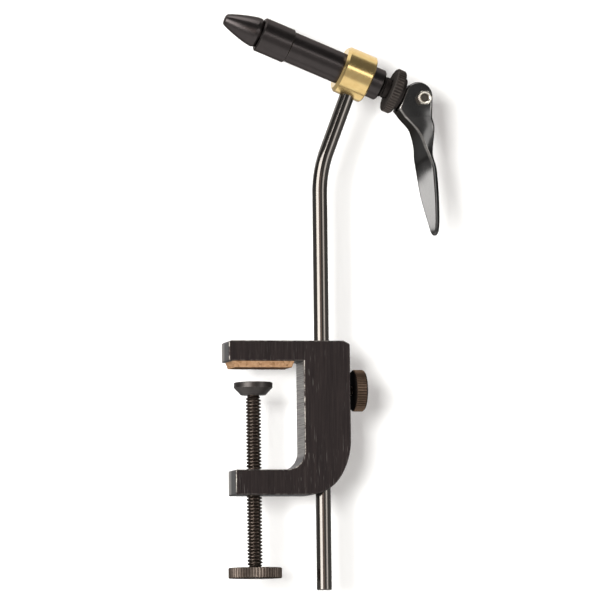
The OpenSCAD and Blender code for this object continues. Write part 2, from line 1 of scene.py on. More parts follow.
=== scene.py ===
# %% [markdown]
# # A small hook-holding bench vise
#
# The vise holds a hook by its bend: a cam lever draws a slit collet back into its sleeve. The head sits on
# a bent stem, and the stem is carried by a C-clamp with a cork pad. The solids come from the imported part,
# which is the fixed frame of this scene. Blender gives each solid its finish and replaces the pieces whose
# real form needs a finer mesh: the two screws, the bent stem, the spring, the adjuster, the pivot nut, the
# cork and the lever.

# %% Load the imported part
import json
import math

import bmesh
import bpy
import numpy as np
from mathutils import Matrix, Vector, noise

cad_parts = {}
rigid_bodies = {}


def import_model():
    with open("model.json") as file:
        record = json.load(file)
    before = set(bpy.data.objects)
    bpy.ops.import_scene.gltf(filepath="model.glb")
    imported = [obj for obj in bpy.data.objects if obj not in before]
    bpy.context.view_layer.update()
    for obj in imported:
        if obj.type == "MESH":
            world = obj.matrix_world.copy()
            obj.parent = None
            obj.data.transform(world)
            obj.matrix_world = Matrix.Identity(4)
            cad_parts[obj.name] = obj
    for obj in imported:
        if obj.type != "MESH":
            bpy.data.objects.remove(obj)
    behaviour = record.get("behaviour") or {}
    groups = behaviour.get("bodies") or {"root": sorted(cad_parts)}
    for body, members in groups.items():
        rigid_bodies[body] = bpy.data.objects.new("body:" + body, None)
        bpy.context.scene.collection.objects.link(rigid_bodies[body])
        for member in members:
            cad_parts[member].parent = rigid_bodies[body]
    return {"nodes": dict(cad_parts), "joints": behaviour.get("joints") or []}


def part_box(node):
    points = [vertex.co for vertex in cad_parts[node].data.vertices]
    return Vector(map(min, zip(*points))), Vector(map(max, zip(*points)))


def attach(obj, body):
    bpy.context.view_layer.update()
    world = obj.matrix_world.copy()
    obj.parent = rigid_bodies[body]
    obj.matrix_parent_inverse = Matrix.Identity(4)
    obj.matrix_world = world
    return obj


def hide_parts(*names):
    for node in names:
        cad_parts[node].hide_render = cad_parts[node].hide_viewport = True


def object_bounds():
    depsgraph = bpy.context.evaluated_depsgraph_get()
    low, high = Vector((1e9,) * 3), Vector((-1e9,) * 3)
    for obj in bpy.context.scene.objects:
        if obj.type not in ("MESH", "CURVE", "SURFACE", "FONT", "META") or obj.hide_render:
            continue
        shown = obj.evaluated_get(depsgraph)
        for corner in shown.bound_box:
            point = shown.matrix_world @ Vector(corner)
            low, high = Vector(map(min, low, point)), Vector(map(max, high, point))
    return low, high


for leftover in list(bpy.data.objects):
    bpy.data.objects.remove(leftover)

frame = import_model()
cad_low, cad_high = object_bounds()
nodes = frame["nodes"]
joints = {joint["name"]: joint for joint in frame["joints"]}
scene = bpy.context.scene
MM = 0.001
print("part loaded:", len(nodes), "solids, box", [round(v / MM, 1) for v in cad_high - cad_low], "mm")

# %% [markdown]
# ## Camera
#
# The photograph was taken with a long lens from a little to the left and a little below. A long lens far
# away keeps the uprights parallel. The camera is placed by its angles round a point near the middle of the
# part, so that the numbers can be read as a photographer would say them.

# %% Camera at the photograph's angle
IMAGE_PIXELS = 600
SENSOR_MM = 36
VIEW_LIMIT = 20
view_azimuth = math.radians(-12.9)
view_elevation = math.radians(-4.5)
view_roll = math.radians(-0.67)
view_distance = 3.096
focal_pixels = 5902
look_at = Vector((26.19, 2.31, 36.28)) * MM

forward = Vector((
    -math.sin(view_azimuth) * math.cos(view_elevation),
    math.cos(view_azimuth) * math.cos(view_elevation),
    -math.sin(view_elevation),
))
level_right = Vector((math.cos(view_azimuth), math.sin(view_azimuth), 0))
level_up = level_right.cross(forward)
right = math.cos(view_roll) * level_right + math.sin(view_roll) * level_up
up = right.cross(forward)


def in_scene(name, data):
    """A new object of the scene."""
    made = bpy.data.objects.new(name, data)
    scene.collection.objects.link(made)
    return made


camera_data = bpy.data.cameras.new("photo_camera")
camera_data.sensor_width = SENSOR_MM
camera_data.lens = focal_pixels * SENSOR_MM / IMAGE_PIXELS
camera_data.clip_end = VIEW_LIMIT
camera = in_scene("photo_camera", camera_data)
camera_turn = Matrix((right, up, -forward)).transposed().to_4x4()
camera.matrix_world = Matrix.Translation(look_at - view_distance * forward) @ camera_turn
scene.camera = camera
print("camera", round(camera_data.lens), "mm lens,", view_distance, "m away")

# %% [markdown]
# ## Helpers for shader nodes and colours
#
# Every finish below is a small graph. One function adds a node, sets its options and joins its inputs, so
# that a graph reads from top to bottom; a node given as an input stands for the output that it shows.
# Colours are written as the sRGB hex values a painter would pick, and the shader wants them linear.

# %% Helpers for finishes
FACTOR, A, B = 0, 6, 7  # places of a Mix node's colour inputs, whose names it uses more than once


def colour(hex_code):
    """Linear RGBA of an sRGB hex colour."""
    channels = [int(hex_code[i:i + 2], 16) / 255 for i in (1, 3, 5)]
    linear = [c / 12.92 if c <= 0.04045 else ((c + 0.055) / 1.055) ** 2.4 for c in channels]
    return (*linear, 1.0)


def join(tree, node, inputs):
    """Joins a node's inputs to other nodes or sockets, and sets those that are given plain values."""
    for name, value in inputs.items():
        if isinstance(value, bpy.types.Node):
            value = next(output for output in value.outputs if output.enabled)
        if isinstance(value, bpy.types.NodeSocket):
            tree.links.new(value, node.inputs[name])
        else:
            node.inputs[name].default_value = value


def add(tree, kind, inputs=None, stops=None, **settings):
    """Adds a node, sets its options and colour stops, and joins or sets its inputs."""
    made = tree.nodes.new(kind)
    for name, value in settings.items():
        setattr(made, name, value)
    join(tree, made, inputs or {})
    if stops:
        ramp = made.color_ramp
        while len(ramp.elements) < len(stops):
            ramp.elements.new(1.0)
        for element, (place, tint) in zip(ramp.elements, stops):
            element.position = place
            element.color = tint if isinstance(tint, tuple) else (tint, tint, tint, 1.0)
    return made


def new_finish(name):
    """An empty material with its shader and the surface's place in metres."""
    material = bpy.data.materials.new(name)
    material.use_nodes = True
    tree = material.node_tree
    place = add(tree, "ShaderNodeTexCoord").outputs["Object"]
    return material, tree, tree.nodes["Principled BSDF"], place


def own_normal(tree):
    """The surface's normal in the piece's own axes, so that a mask turns with the piece."""
    return add(tree, "ShaderNodeTexCoord").outputs["Normal"]


def per_mm(*sizes):
    """Scale of a pattern whose features have these sizes in millimetres along X, Y and Z."""
    return tuple(1 / (size * MM) for size in sizes)


print("sRGB mid grey is", round(colour("#808080")[0], 3), "in linear light")

# %% [markdown]
# ## Studio
#
# The photograph has a white ground, soft light from the left and a soft grey shadow to the right. The world
# is white where the camera looks at it. Metal also sees that white behind the part, and in front of the part
# it sees a dim room, which is what makes polished black steel look black. Two wide soft boxes stand left and
# right of the camera, and one hangs above it. Their places come from the streaks on the round stem: a streak
# at a share of the radius mirrors the light that stands at twice that angle. A low strip in front draws the
# thin bright line along the head and the collar, and a weak warm card by the camera lifts the darkest faces.

# %% World
AMBIENT = (0.3, 0.3, 0.3, 1.0)
WHITE = (1.0, 1.0, 1.0, 1.0)
BACKDROP_WAY, BACKDROP_FROM, BACKDROP_FULL = (0.0, 0.6, 0.8), 0.56, 0.64
# from straight down, 0, to straight up, 1, and how bright the room is there
ROOM_BRIGHTNESS = [(0.18, 1.0), (0.21, 0.42), (0.45, 0.4), (0.55, 0.22), (0.62, 0.12), (0.92, 0.12),
                   (0.96, 0.75)]
world = bpy.data.worlds.new("studio")
world.use_nodes = True
scene.world = world
tree = world.node_tree
way = add(tree, "ShaderNodeTexCoord").outputs["Generated"]
ray = add(tree, "ShaderNodeLightPath")
direction = add(tree, "ShaderNodeSeparateXYZ", {"Vector": way})
height = add(tree, "ShaderNodeMapRange", {"Value": direction.outputs["Z"], "From Min": -1.0, "From Max": 1.0})
room = add(tree, "ShaderNodeValToRGB", {"Fac": height}, stops=ROOM_BRIGHTNESS)
backward = add(tree, "ShaderNodeVectorMath", {0: way, 1: BACKDROP_WAY}, operation="DOT_PRODUCT")
behind = add(tree, "ShaderNodeMapRange",
             {"Value": backward, "From Min": BACKDROP_FROM, "From Max": BACKDROP_FULL})
mirrored = add(tree, "ShaderNodeMix", {FACTOR: behind, A: room, B: WHITE}, data_type="RGBA")
in_metal_or_glass = add(tree, "ShaderNodeMath", {
    0: ray.outputs["Is Glossy Ray"], 1: ray.outputs["Is Transmission Ray"]}, operation="MAXIMUM")
not_camera = add(tree, "ShaderNodeMix", {FACTOR: in_metal_or_glass, A: AMBIENT, B: mirrored}, data_type="RGBA")
seen = add(tree, "ShaderNodeMix", {FACTOR: ray.outputs["Is Camera Ray"], A: not_camera, B: WHITE},
           data_type="RGBA")
join(tree, tree.nodes["Background"], {"Color": seen})
scene.view_settings.view_transform = "Standard"
print("world: white behind the part, ambient", AMBIENT[0])


# %% Soft boxes
def soft_box(name, azimuth, elevation, width, height, watts, distance=1.2):
    """A rectangular lamp that faces the part, placed by its angles from straight in front."""
    lamp = bpy.data.lights.new(name, "AREA")
    lamp.shape = "RECTANGLE"
    lamp.size, lamp.size_y, lamp.energy = width, height, watts
    box = in_scene(name, lamp)
    azimuth, elevation = math.radians(azimuth), math.radians(elevation)
    toward = Vector((math.sin(azimuth) * math.cos(elevation), -math.cos(azimuth) * math.cos(elevation),
                     math.sin(elevation)))
    box.location = look_at + distance * toward
    box.rotation_euler = toward.to_track_quat("Z", "Y").to_euler()
    return box


left_box = soft_box("left_soft_box", azimuth=-49, elevation=10, width=0.82, height=0.78, watts=11.5)
right_box = soft_box("right_soft_box", azimuth=38, elevation=2, width=0.5, height=0.42, watts=1.5)
top_box = soft_box("top_soft_box", azimuth=-5, elevation=76, width=0.6, height=0.6, watts=3)
front_strip = soft_box("front_strip", azimuth=8, elevation=14, width=0.5, height=0.2, watts=0.85)
fill_card = soft_box("fill_card", azimuth=-15, elevation=3, width=0.42, height=0.42, watts=0.3)
fill_card.data.color = colour("#ffd9c9")[:3]
boxes = (left_box, right_box, top_box, front_strip, fill_card)
print("soft boxes at", [[round(v, 2) for v in box.location] for box in boxes])

# %% [markdown]
# ## Floor and shadow card
#
# The floor is a plain pale sheet well below the part, out of the photograph's frame. The soft shadow in the
# photograph falls on a white ground just behind the vise, so a card stands there. Only the camera sees the
# card, and only from its front, so it neither lights the metal nor hides the part in views from behind. One
# lamp near the camera lights the card alone: that lamp makes the shadow, and the boxes make the look of the
# metal. Blender's light linking says which lamp lights what.


# %% Floor and card
def stage_sheet(name, corners, material):
    """A flat four-cornered sheet that belongs to the studio."""
    mesh = bpy.data.meshes.new(name)
    mesh.from_pydata(corners, [], [(0, 1, 2, 3)])
    mesh.materials.append(material)
    sheet = in_scene(name, mesh)
    return sheet


def white_sheet(name, glow, one_sided):
    """Matt white paper that shows shadows; a glow for the camera brings lit paper up to white."""
    material, tree, shader, _ = new_finish(name)
    ray = add(tree, "ShaderNodeLightPath")
    shown = add(tree, "ShaderNodeMath", {0: ray.outputs["Is Camera Ray"], 1: glow}, operation="MULTIPLY")
    join(tree, shader, {"Base Color": colour("#e8e8e6"), "Roughness": 0.9, "Specular IOR Level": 0.0,
                        "Emission Color": colour("#fff6f4"), "Emission Strength": shown})
    if one_sided:
        from_behind = add(tree, "ShaderNodeNewGeometry").outputs["Backfacing"]
        clear = add(tree, "ShaderNodeBsdfTransparent")
        side = add(tree, "ShaderNodeMixShader", {"Fac": from_behind, 1: shader, 2: clear})
        join(tree, tree.nodes["Material Output"], {"Surface": side})
    return material


FLOOR_Z, FLOOR_HALF = -0.27, 5.0
floor = stage_sheet("floor", [(x * FLOOR_HALF, y * FLOOR_HALF, FLOOR_Z)
                              for x, y in ((-1, -1), (1, -1), (1, 1), (-1, 1))],
                    white_sheet("matt white paper floor", glow=0.72, one_sided=False))
floor.visible_glossy = False

CARD_Y, CARD_MARGIN = 0.08, 0.12
card_left, card_right = cad_low.x - CARD_MARGIN, cad_high.x + CARD_MARGIN
card_foot, card_head = FLOOR_Z, cad_high.z + CARD_MARGIN
card = stage_sheet("shadow_card", [(card_left, CARD_Y, card_foot), (card_right, CARD_Y, card_foot),
                                   (card_right, CARD_Y, card_head), (card_left, CARD_Y, card_head)],
                   white_sheet("matt white card", glow=0.2, one_sided=True))
card.visible_diffuse = card.visible_glossy = card.visible_transmission = card.visible_shadow = False
print("floor at", FLOOR_Z, "m, card", CARD_Y, "m behind the clamp's middle")


# %% Which lamp lights what
def receivers(name, lit_objects, lamps):
    """A collection that limits what these lamps light."""
    collection = bpy.data.collections.new(name)
    for lit in lit_objects:
        collection.objects.link(lit)
    for lamp in lamps:
        lamp.light_linking.receiver_collection = collection
    return collection


HEAD_PIECES = ("barrel", "collet_sleeve", "jaw_front", "jaw_back", "head_collar")
shadow_lamp = soft_box("shadow_lamp", azimuth=-21, elevation=-1.5, width=0.5, height=0.5, watts=130,
                       distance=3.0)
receivers("only_card", [card], [shadow_lamp])
head_only = receivers("head_only", [nodes[name] for name in HEAD_PIECES], [front_strip])
not_card = receivers("not_card", [card], [left_box, right_box, top_box, fill_card])
not_card.collection_objects[0].light_linking.link_state = "EXCLUDE"
print("the card has its own lamp, and the strip lights", len(HEAD_PIECES), "pieces of the head")

# %% [markdown]
# ## Patterns that several finishes share
#
# Two things show on most of these surfaces. A lathe leaves fine rings across its axis, which is a noise that
# changes only along that axis. And edges are rubbed bright: the Bevel node gives the normal that a rounded
# edge would have, and where it leans away from the true normal there is an edge. Both could be painted on
# images, but then they would need a layout for every piece; these follow the shape by themselves. Real rings
# lie about a tenth of a millimetre apart, too fine to show here, so they are drawn several times as coarse.

# %% Turning lines and worn edges
RING_DEPTH = 0.05 * MM
FLAT_AGREES, EDGE_AGREES = 0.99, 0.86


def turning_lines(tree, place, axis, ring_mm):
    """A noise that changes only along an axis, as the marks of a lathe tool do."""
    along = add(tree, "ShaderNodeVectorMath", {0: place, 1: axis}, operation="DOT_PRODUCT")
    return add(tree, "ShaderNodeTexNoise", {"W": along, "Scale": 1 / (ring_mm * MM), "Detail": 3.0},
               noise_dimensions="1D")


def worn_edges(tree, radius_mm):
    """One on the edges of a piece and zero on its faces."""
    rounded = add(tree, "ShaderNodeBevel", {"Radius": radius_mm * MM}, samples=8)
    true_normal = add(tree, "ShaderNodeNewGeometry").outputs["Normal"]
    agree = add(tree, "ShaderNodeVectorMath", {0: rounded, 1: true_normal}, operation="DOT_PRODUCT")
    return add(tree, "ShaderNodeMapRange", {"Value": agree, "From Min": FLAT_AGREES, "From Max": EDGE_AGREES})


print("an edge is where the two normals lean apart by", round(math.degrees(math.acos(EDGE_AGREES))), "degrees")

# %% [markdown]
# ## Browned steel bar
#
# The clamp's frame is flat bar, ground along its length and then browned in a hot salt bath. The bath leaves
# a brown-black skin that follows every grinding line, so the lines show as faint light and dark streaks.
# Handling rubs the rounded edges back to bare steel and leaves clusters of short scratches, fewer on the
# upper arm; the rubbed edges are painted brighter where they face left, which is a painted highlight. The
# undersides are painted near-black as painted shade. The throat is milled and carries the cutter's level marks,
# and its back is painted pale as a painted reflection; the sawn ends are painted from dark at the front to pale
# at the back, also a painted reflection of the white ground. One painted image could hold all this, but noises
# have a real scale and no seams. The streaks are a noise stretched along Z, and the surface's own normal tells
# one kind of face from another. Real grinding lines are finer than a pixel, so they are drawn 0.7 mm wide.

# %% Frame's finish: skin and scratches
browned_bar, tree, shader, place = new_finish("steel bar, ground and browned")
spot = add(tree, "ShaderNodeSeparateXYZ", {"Vector": place})
streaks = add(tree, "ShaderNodeMapping", {"Vector": place, "Scale": per_mm(0.7, 0.7, 22)})
grind = add(tree, "ShaderNodeTexNoise", {"Vector": streaks, "Scale": 1.0, "Detail": 5.0, "Roughness": 0.65})
skin = add(tree, "ShaderNodeValToRGB", {"Fac": grind},
           stops=[(0.3, colour("#2d2626")), (0.5, colour("#393130")), (0.75, colour("#463c3a"))])
lines = add(tree, "ShaderNodeMapping",
            {"Vector": place, "Scale": per_mm(0.55, 0.55, 9), "Location": (3.1, 0.4, 7.7)})
line_noise = add(tree, "ShaderNodeTexNoise", {"Vector": lines, "Scale": 1.0, "Detail": 1.0})
cut_in = add(tree, "ShaderNodeMapRange",
             {"Value": line_noise, "From Min": 0.64, "From Max": 0.73, "To Max": 0.55})
handled = add(tree, "ShaderNodeTexNoise", {"Vector": place, "Scale": 1 / (21 * MM), "Detail": 1.0})
often = add(tree, "ShaderNodeMapRange", {"Value": handled, "From Min": 0.42, "From Max": 0.62})
below_arm = add(tree, "ShaderNodeMapRange",
                {"Value": spot.outputs["Z"], "From Min": 8 * MM, "From Max": -6 * MM, "To Min": 0.3})
clusters = add(tree, "ShaderNodeMath", {0: often, 1: below_arm}, operation="MULTIPLY")
scratches = add(tree, "ShaderNodeMath", {0: cut_in, 1: clusters}, operation="MULTIPLY")
scratched = add(tree, "ShaderNodeMix", {FACTOR: scratches, A: skin, B: colour("#a39d98")}, data_type="RGBA")
print("scratches about 0.5 mm wide and 9 mm long, in clusters of 21 mm")

# %% Frame's finish: rubbed edges with a painted highlight, and painted shade on the undersides
facing = add(tree, "ShaderNodeSeparateXYZ", {"Vector": own_normal(tree)})
squarely = add(tree, "ShaderNodeMath", {0: facing.outputs["Y"]}, operation="ABSOLUTE")
edges = add(tree, "ShaderNodeValToRGB", {"Fac": squarely},
            stops=[(0.1, 0.0), (0.3, 1.0), (0.95, 1.0), (0.995, 0.0)])
patchy = add(tree, "ShaderNodeTexNoise",
             {"Vector": place, "Scale": 1 / (2.5 * MM), "Detail": 4.0, "Roughness": 0.7})
broken = add(tree, "ShaderNodeMapRange", {"Value": patchy, "From Min": 0.42, "From Max": 0.62})
# painted highlight: the rubbed edges are painted brighter where they face left, towards the left soft box;
# edges facing right keep a fifth of it, so rubbed and worn carry both wear and painted highlight
painted_lit_side_highlight = add(tree, "ShaderNodeMapRange",
                {"Value": facing.outputs["X"], "From Min": 0.1, "From Max": -0.3, "To Min": 0.2})
broken_edges = add(tree, "ShaderNodeMath", {0: edges, 1: broken}, operation="MULTIPLY")
rubbed = add(tree, "ShaderNodeMath", {0: broken_edges, 1: painted_lit_side_highlight}, operation="MULTIPLY")
worn = add(tree, "ShaderNodeMix", {FACTOR: rubbed, A: scratched, B: colour("#cfc8be")}, data_type="RGBA")
# painted shade: faces that turn downward are painted near-black
painted_underside_shade = add(tree, "ShaderNodeMapRange",
               {"Value": facing.outputs["Z"], "From Min": -0.35, "From Max": -0.85})
shaded = add(tree, "ShaderNodeMix", {FACTOR: painted_underside_shade, A: worn, B: colour("#1a1615")}, data_type="RGBA")
print("edges rubbed in patches of 2.5 mm")

# %% Frame's finish: milled throat and sawn ends, with a painted reflection
leftward = add(tree, "ShaderNodeMapRange",
               {"Value": facing.outputs["X"], "From Min": -0.94, "From Max": -0.995})
in_throat = add(tree, "ShaderNodeMapRange",
                {"Value": spot.outputs["X"], "From Min": 10 * MM, "From Max": 20 * MM})
# painted reflection: the sawn ends grade from dark at the front to pale at the back, standing in for the white
# ground mirrored behind
painted_reflection_toward_back = add(tree, "ShaderNodeMapRange", {"Value": spot.outputs["Y"], "From Min": 0.0, "From Max": 8 * MM})
cutter_marks = add(tree, "ShaderNodeMapping", {"Vector": place, "Scale": per_mm(30, 30, 0.5)})
milled = add(tree, "ShaderNodeTexNoise", {"Vector": cutter_marks, "Scale": 1.0, "Detail": 3.0})
# the throat's back is painted pale as a painted reflection, with the cutter's level marks as real texture in it
milled_marks_and_painted_reflection = add(tree, "ShaderNodeValToRGB", {"Fac": milled},
                  stops=[(0.35, colour("#6f6a67")), (0.5, colour("#8f8a86")), (0.68, colour("#b3aea9"))])
sawn_end_painted_reflection = add(tree, "ShaderNodeMix", {FACTOR: painted_reflection_toward_back, A: colour("#2b2625"), B: colour("#b5b0ab")},
                data_type="RGBA")
cut_faces_painted_reflection = add(tree, "ShaderNodeMix", {FACTOR: in_throat, A: sawn_end_painted_reflection, B: milled_marks_and_painted_reflection}, data_type="RGBA")
whole = add(tree, "ShaderNodeMix", {FACTOR: leftward, A: shaded, B: cut_faces_painted_reflection}, data_type="RGBA")
satin = add(tree, "ShaderNodeMapRange", {"Value": grind, "To Min": 0.5, "To Max": 0.36})
relief = add(tree, "ShaderNodeBump", {"Height": grind, "Strength": 0.25, "Distance": 0.1 * MM})
join(tree, shader, {"Base Color": whole, "Roughness": satin, "Normal": relief, "Metallic": 0.7})


def dress(material, *names):
    """Gives solids a finish."""
    for name in names:
        mesh = nodes[name].data
        mesh.materials.clear()
        mesh.materials.append(material)


dress(browned_bar, "clamp_frame")
print("finish:", browned_bar.name)

# %% [markdown]
# ## Rounded edges of the frame
#
# The maker breaks the bar's edges with a file. The solid keeps them sharp, and modifiers round them without
# changing its mesh: the many triangles of each flat are joined first, so that the Bevel modifier meets only
# real edges. Short edges at the round corner would hold the bevel back, so it may overlap there.

# %% Modifiers on the frame
EDGE_ROUND_MM, ROUND_STEPS = 0.7, 4
clamp_frame = nodes["clamp_frame"]
weld = clamp_frame.modifiers.new("join split points", "WELD")
weld.merge_threshold = 0.001 * MM
flatten = clamp_frame.modifiers.new("one face per flat", "DECIMATE")
flatten.decimate_type, flatten.angle_limit = "DISSOLVE", math.radians(1)
rounding = clamp_frame.modifiers.new("broken edges", "BEVEL")
rounding.width, rounding.segments = EDGE_ROUND_MM * MM, ROUND_STEPS
rounding.limit_method, rounding.angle_limit = "ANGLE", math.radians(30)
rounding.harden_normals = True
rounding.use_clamp_overlap = False
flats = clamp_frame.modifiers.new("flats stay flat", "WEIGHTED_NORMAL")
flats.keep_sharp = True
print("edges of the frame rounded by", EDGE_ROUND_MM, "mm")

# %% [markdown]
# ## Turned, knurled and browned steel
#
# The thumbwheel, the lock knob and the adjuster are steel turned on a lathe, with straight ridges rolled into
# the rim. The browning stays in the grooves, and fingers wear the crests to a lighter grey-brown. A bump could
# draw the ridges, but its outline would stay smooth. These are real in the mesh, so the finish only has to
# follow them: the distance from the wheel's axis tells a crest from a groove.

# %% Finish of the knurled wheels
RIM_ROUGHNESS, FACE_ROUGHNESS = 0.42, 0.7
ADJUSTER_BACK = 20.0
SCREW_AXIS, LOCK_AXIS = Vector((0, 0, 1)), Vector((1, 0, 0))
HEAD_AXIS = -Vector(joints["draw_slide"]["axis"])
head_centre = Vector(joints["adjuster_turn"]["pos_m"]) - ADJUSTER_BACK * MM * HEAD_AXIS


def knurled_steel(name, centre, axis, groove_mm, crest_mm, dark, bright, face):
    """Steel with a rolled rim: dark in its grooves, bright on its crests, plain on its turned faces."""
    material, tree, shader, place = new_finish(name)
    out = add(tree, "ShaderNodeVectorMath", {0: place, 1: centre}, operation="SUBTRACT")
    along = add(tree, "ShaderNodeVectorMath", {0: out, 1: axis}, operation="PROJECT")
    across = add(tree, "ShaderNodeVectorMath", {0: out, 1: along}, operation="SUBTRACT")
    radius = add(tree, "ShaderNodeVectorMath", {0: across}, operation="LENGTH")
    crest = add(tree, "ShaderNodeMapRange",
                {"Value": radius, "From Min": groove_mm * MM, "From Max": crest_mm * MM})
    mottle = add(tree, "ShaderNodeTexNoise", {"Vector": place, "Scale": 1 / (1.5 * MM), "Detail": 4.0})
    uneven = add(tree, "ShaderNodeMapRange",
                 {"Value": mottle, "From Min": 0.3, "From Max": 0.7, "To Min": 0.55})
    rub = add(tree, "ShaderNodeMath", {0: crest, 1: uneven}, operation="MULTIPLY")
    tint = add(tree, "ShaderNodeMix", {FACTOR: rub, A: colour(dark), B: colour(bright)}, data_type="RGBA")
    facing = add(tree, "ShaderNodeVectorMath", {0: own_normal(tree), 1: axis}, operation="DOT_PRODUCT")
    squarely = add(tree, "ShaderNodeMath", {0: facing}, operation="ABSOLUTE")
    on_face = add(tree, "ShaderNodeMapRange", {"Value": squarely, "From Min": 0.3, "From Max": 0.6})
    whole = add(tree, "ShaderNodeMix", {FACTOR: on_face, A: tint, B: colour(face)}, data_type="RGBA")
    satin = add(tree, "ShaderNodeMapRange",
                {"Value": on_face, "To Min": RIM_ROUGHNESS, "To Max": FACE_ROUGHNESS})
    relief = add(tree, "ShaderNodeBump", {"Height": turning_lines(tree, place, axis, ring_mm=0.5),
                                          "Strength": 0.2, "Distance": RING_DEPTH})
    join(tree, shader, {"Base Color": whole, "Roughness": satin, "Normal": relief, "Metallic": 0.85,
                        "Specular Tint": colour("#4a4846")})
    return material


def middle_of(name):
    """Centre of a node's box."""
    low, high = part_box(name)
    return (low + high) / 2


thumbwheel_steel = knurled_steel(
    "steel, knurled and browned, thumbwheel", middle_of("clamp_thumbwheel"), SCREW_AXIS,
    groove_mm=13.5, crest_mm=14.0, dark="#40362f", bright="#8f8278", face="#3a332e")
# The lock knob's turned faces are painted near-black: painted shade on the inner face, which sits close against
# the frame's spine.
lock_knob_steel = knurled_steel(
    "steel, knurled and browned, lock knob", middle_of("lock_knob"), LOCK_AXIS,
    groove_mm=10.45, crest_mm=10.95, dark="#3a2e27", bright="#7d6857", face="#1c1816")
adjuster_steel = knurled_steel(
    "steel, knurled and gun-blacked", head_centre, HEAD_AXIS,
    groove_mm=11.55, crest_mm=12.0, dark="#3a3533", bright="#675f59", face="#4f4a47")
dress(thumbwheel_steel, "clamp_thumbwheel")
dress(lock_knob_steel, "lock_knob")
print("finish: three knurled wheels, the adjuster's on the axis", [round(v, 3) for v in HEAD_AXIS])

# %% [markdown]
# ## Blackened and polished steels
#
# Gun-black is a chemical blackening over turned steel: nearly black, satin, with a soft brownish sheen along
# the light. The stem is the same steel polished first, so it mirrors the soft boxes as sharp streaks. The pad
# is blackened but left a little greyer by the bench it is pressed on. The lever is cast and polished, and its
# near left edge is painted lighter, a painted highlight where that edge faces the left soft box. Its edges are
# rounded in the mesh, so there the Geometry node's Pointiness finds them. Black paint would mirror every light
# the same pale way. These are metals, so the darkness is in the base colour, which tints what they mirror, and
# the look is in the roughness.

# %% Painted highlight on the lever's near left edge
LIT_EDGE_WAY = (-0.45, -0.8, -0.4)
FLAT_POINTINESS, EDGE_POINTINESS = 0.506, 0.514
NECK_ENDS, NECK_FULL = 36.0, 28.0
pivot = Vector(joints["cam_open"]["pos_m"])


def painted_edge_highlight(tree, place):
    """Mask of a painted highlight: one on the lever's near left edge above the paddle and zero elsewhere."""
    bent = add(tree, "ShaderNodeNewGeometry").outputs["Pointiness"]
    rounded = add(tree, "ShaderNodeMapRange",
                  {"Value": bent, "From Min": FLAT_POINTINESS, "From Max": EDGE_POINTINESS})
    toward_lit_edge = add(tree, "ShaderNodeVectorMath", {0: own_normal(tree), 1: LIT_EDGE_WAY},
                       operation="DOT_PRODUCT")
    near_left = add(tree, "ShaderNodeMapRange", {"Value": toward_lit_edge, "From Min": 0.5, "From Max": 0.8})
    spot = add(tree, "ShaderNodeSeparateXYZ", {"Vector": place})
    on_neck = add(tree, "ShaderNodeMapRange", {
        "Value": spot.outputs["Z"], "From Min": pivot.z - NECK_ENDS * MM, "From Max": pivot.z - NECK_FULL * MM})
    near_edge = add(tree, "ShaderNodeMath", {0: rounded, 1: near_left}, operation="MULTIPLY")
    return add(tree, "ShaderNodeMath", {0: near_edge, 1: on_neck}, operation="MULTIPLY")


# the painted highlight on the lever's edge reaches this far below the pivot
print("the lever is rubbed down to", NECK_ENDS, "mm below its pivot")


# %% Finishes of the blackened pieces
def blackened_steel(name, tint, lift, roughness, axis, ring_mm, edge_wear_and_highlight, edge_mm=None, grazing="#ffffff"):
    """Steel under a black skin: turned rings, a little mottling, and edges worn towards bare metal; without
    edge_mm the edge is instead a painted highlight on the lever's near left edge.
    """
    material, tree, shader, place = new_finish(name)
    mottle = add(tree, "ShaderNodeTexNoise",
                 {"Vector": place, "Scale": 1 / (4 * MM), "Detail": 5.0, "Roughness": 0.6})
    skin = add(tree, "ShaderNodeMix", {FACTOR: mottle, A: colour(tint), B: colour(lift)}, data_type="RGBA")
    # for the lever, edges, rubbed and worn carry a painted highlight; for the other steels they carry edge wear
    edges = worn_edges(tree, edge_mm) if edge_mm else painted_edge_highlight(tree, place)
    rubbed = add(tree, "ShaderNodeMath", {0: edges, 1: mottle}, operation="MULTIPLY")
    worn = add(tree, "ShaderNodeMix", {FACTOR: rubbed, A: skin, B: colour(edge_wear_and_highlight)}, data_type="RGBA")
    satin = add(tree, "ShaderNodeMapRange",
                {"Value": mottle, "To Min": roughness * 0.85, "To Max": roughness * 1.15})
    relief = add(tree, "ShaderNodeBump", {"Height": turning_lines(tree, place, axis, ring_mm),
                                          "Strength": 0.15, "Distance": RING_DEPTH})
    join(tree, shader, {"Base Color": worn, "Roughness": satin, "Normal": relief, "Metallic": 1.0,
                        "Specular Tint": colour(grazing)})
    return material


# on polished pieces the rings are several millimetres wide: the slow waves that polishing leaves
gun_black = blackened_steel(
    "steel, turned and gun-blacked", tint="#433f3e", lift="#4f4948", roughness=0.3,
    axis=HEAD_AXIS, ring_mm=0.6, edge_wear_and_highlight="#a09892", edge_mm=0.4, grazing="#c8c4c2")
pad_black = blackened_steel(
    "steel, turned and blackened, pad", tint="#4c4846", lift="#5c5855", roughness=0.4,
    axis=SCREW_AXIS, ring_mm=0.5, edge_wear_and_highlight="#8f8983", edge_mm=0.5)
polished_black = blackened_steel(
    "steel rod, polished and blackened", tint="#6b6663", lift="#757069", roughness=0.11,
    axis=SCREW_AXIS, ring_mm=6.0, edge_wear_and_highlight="#9a928a", edge_mm=0.3)
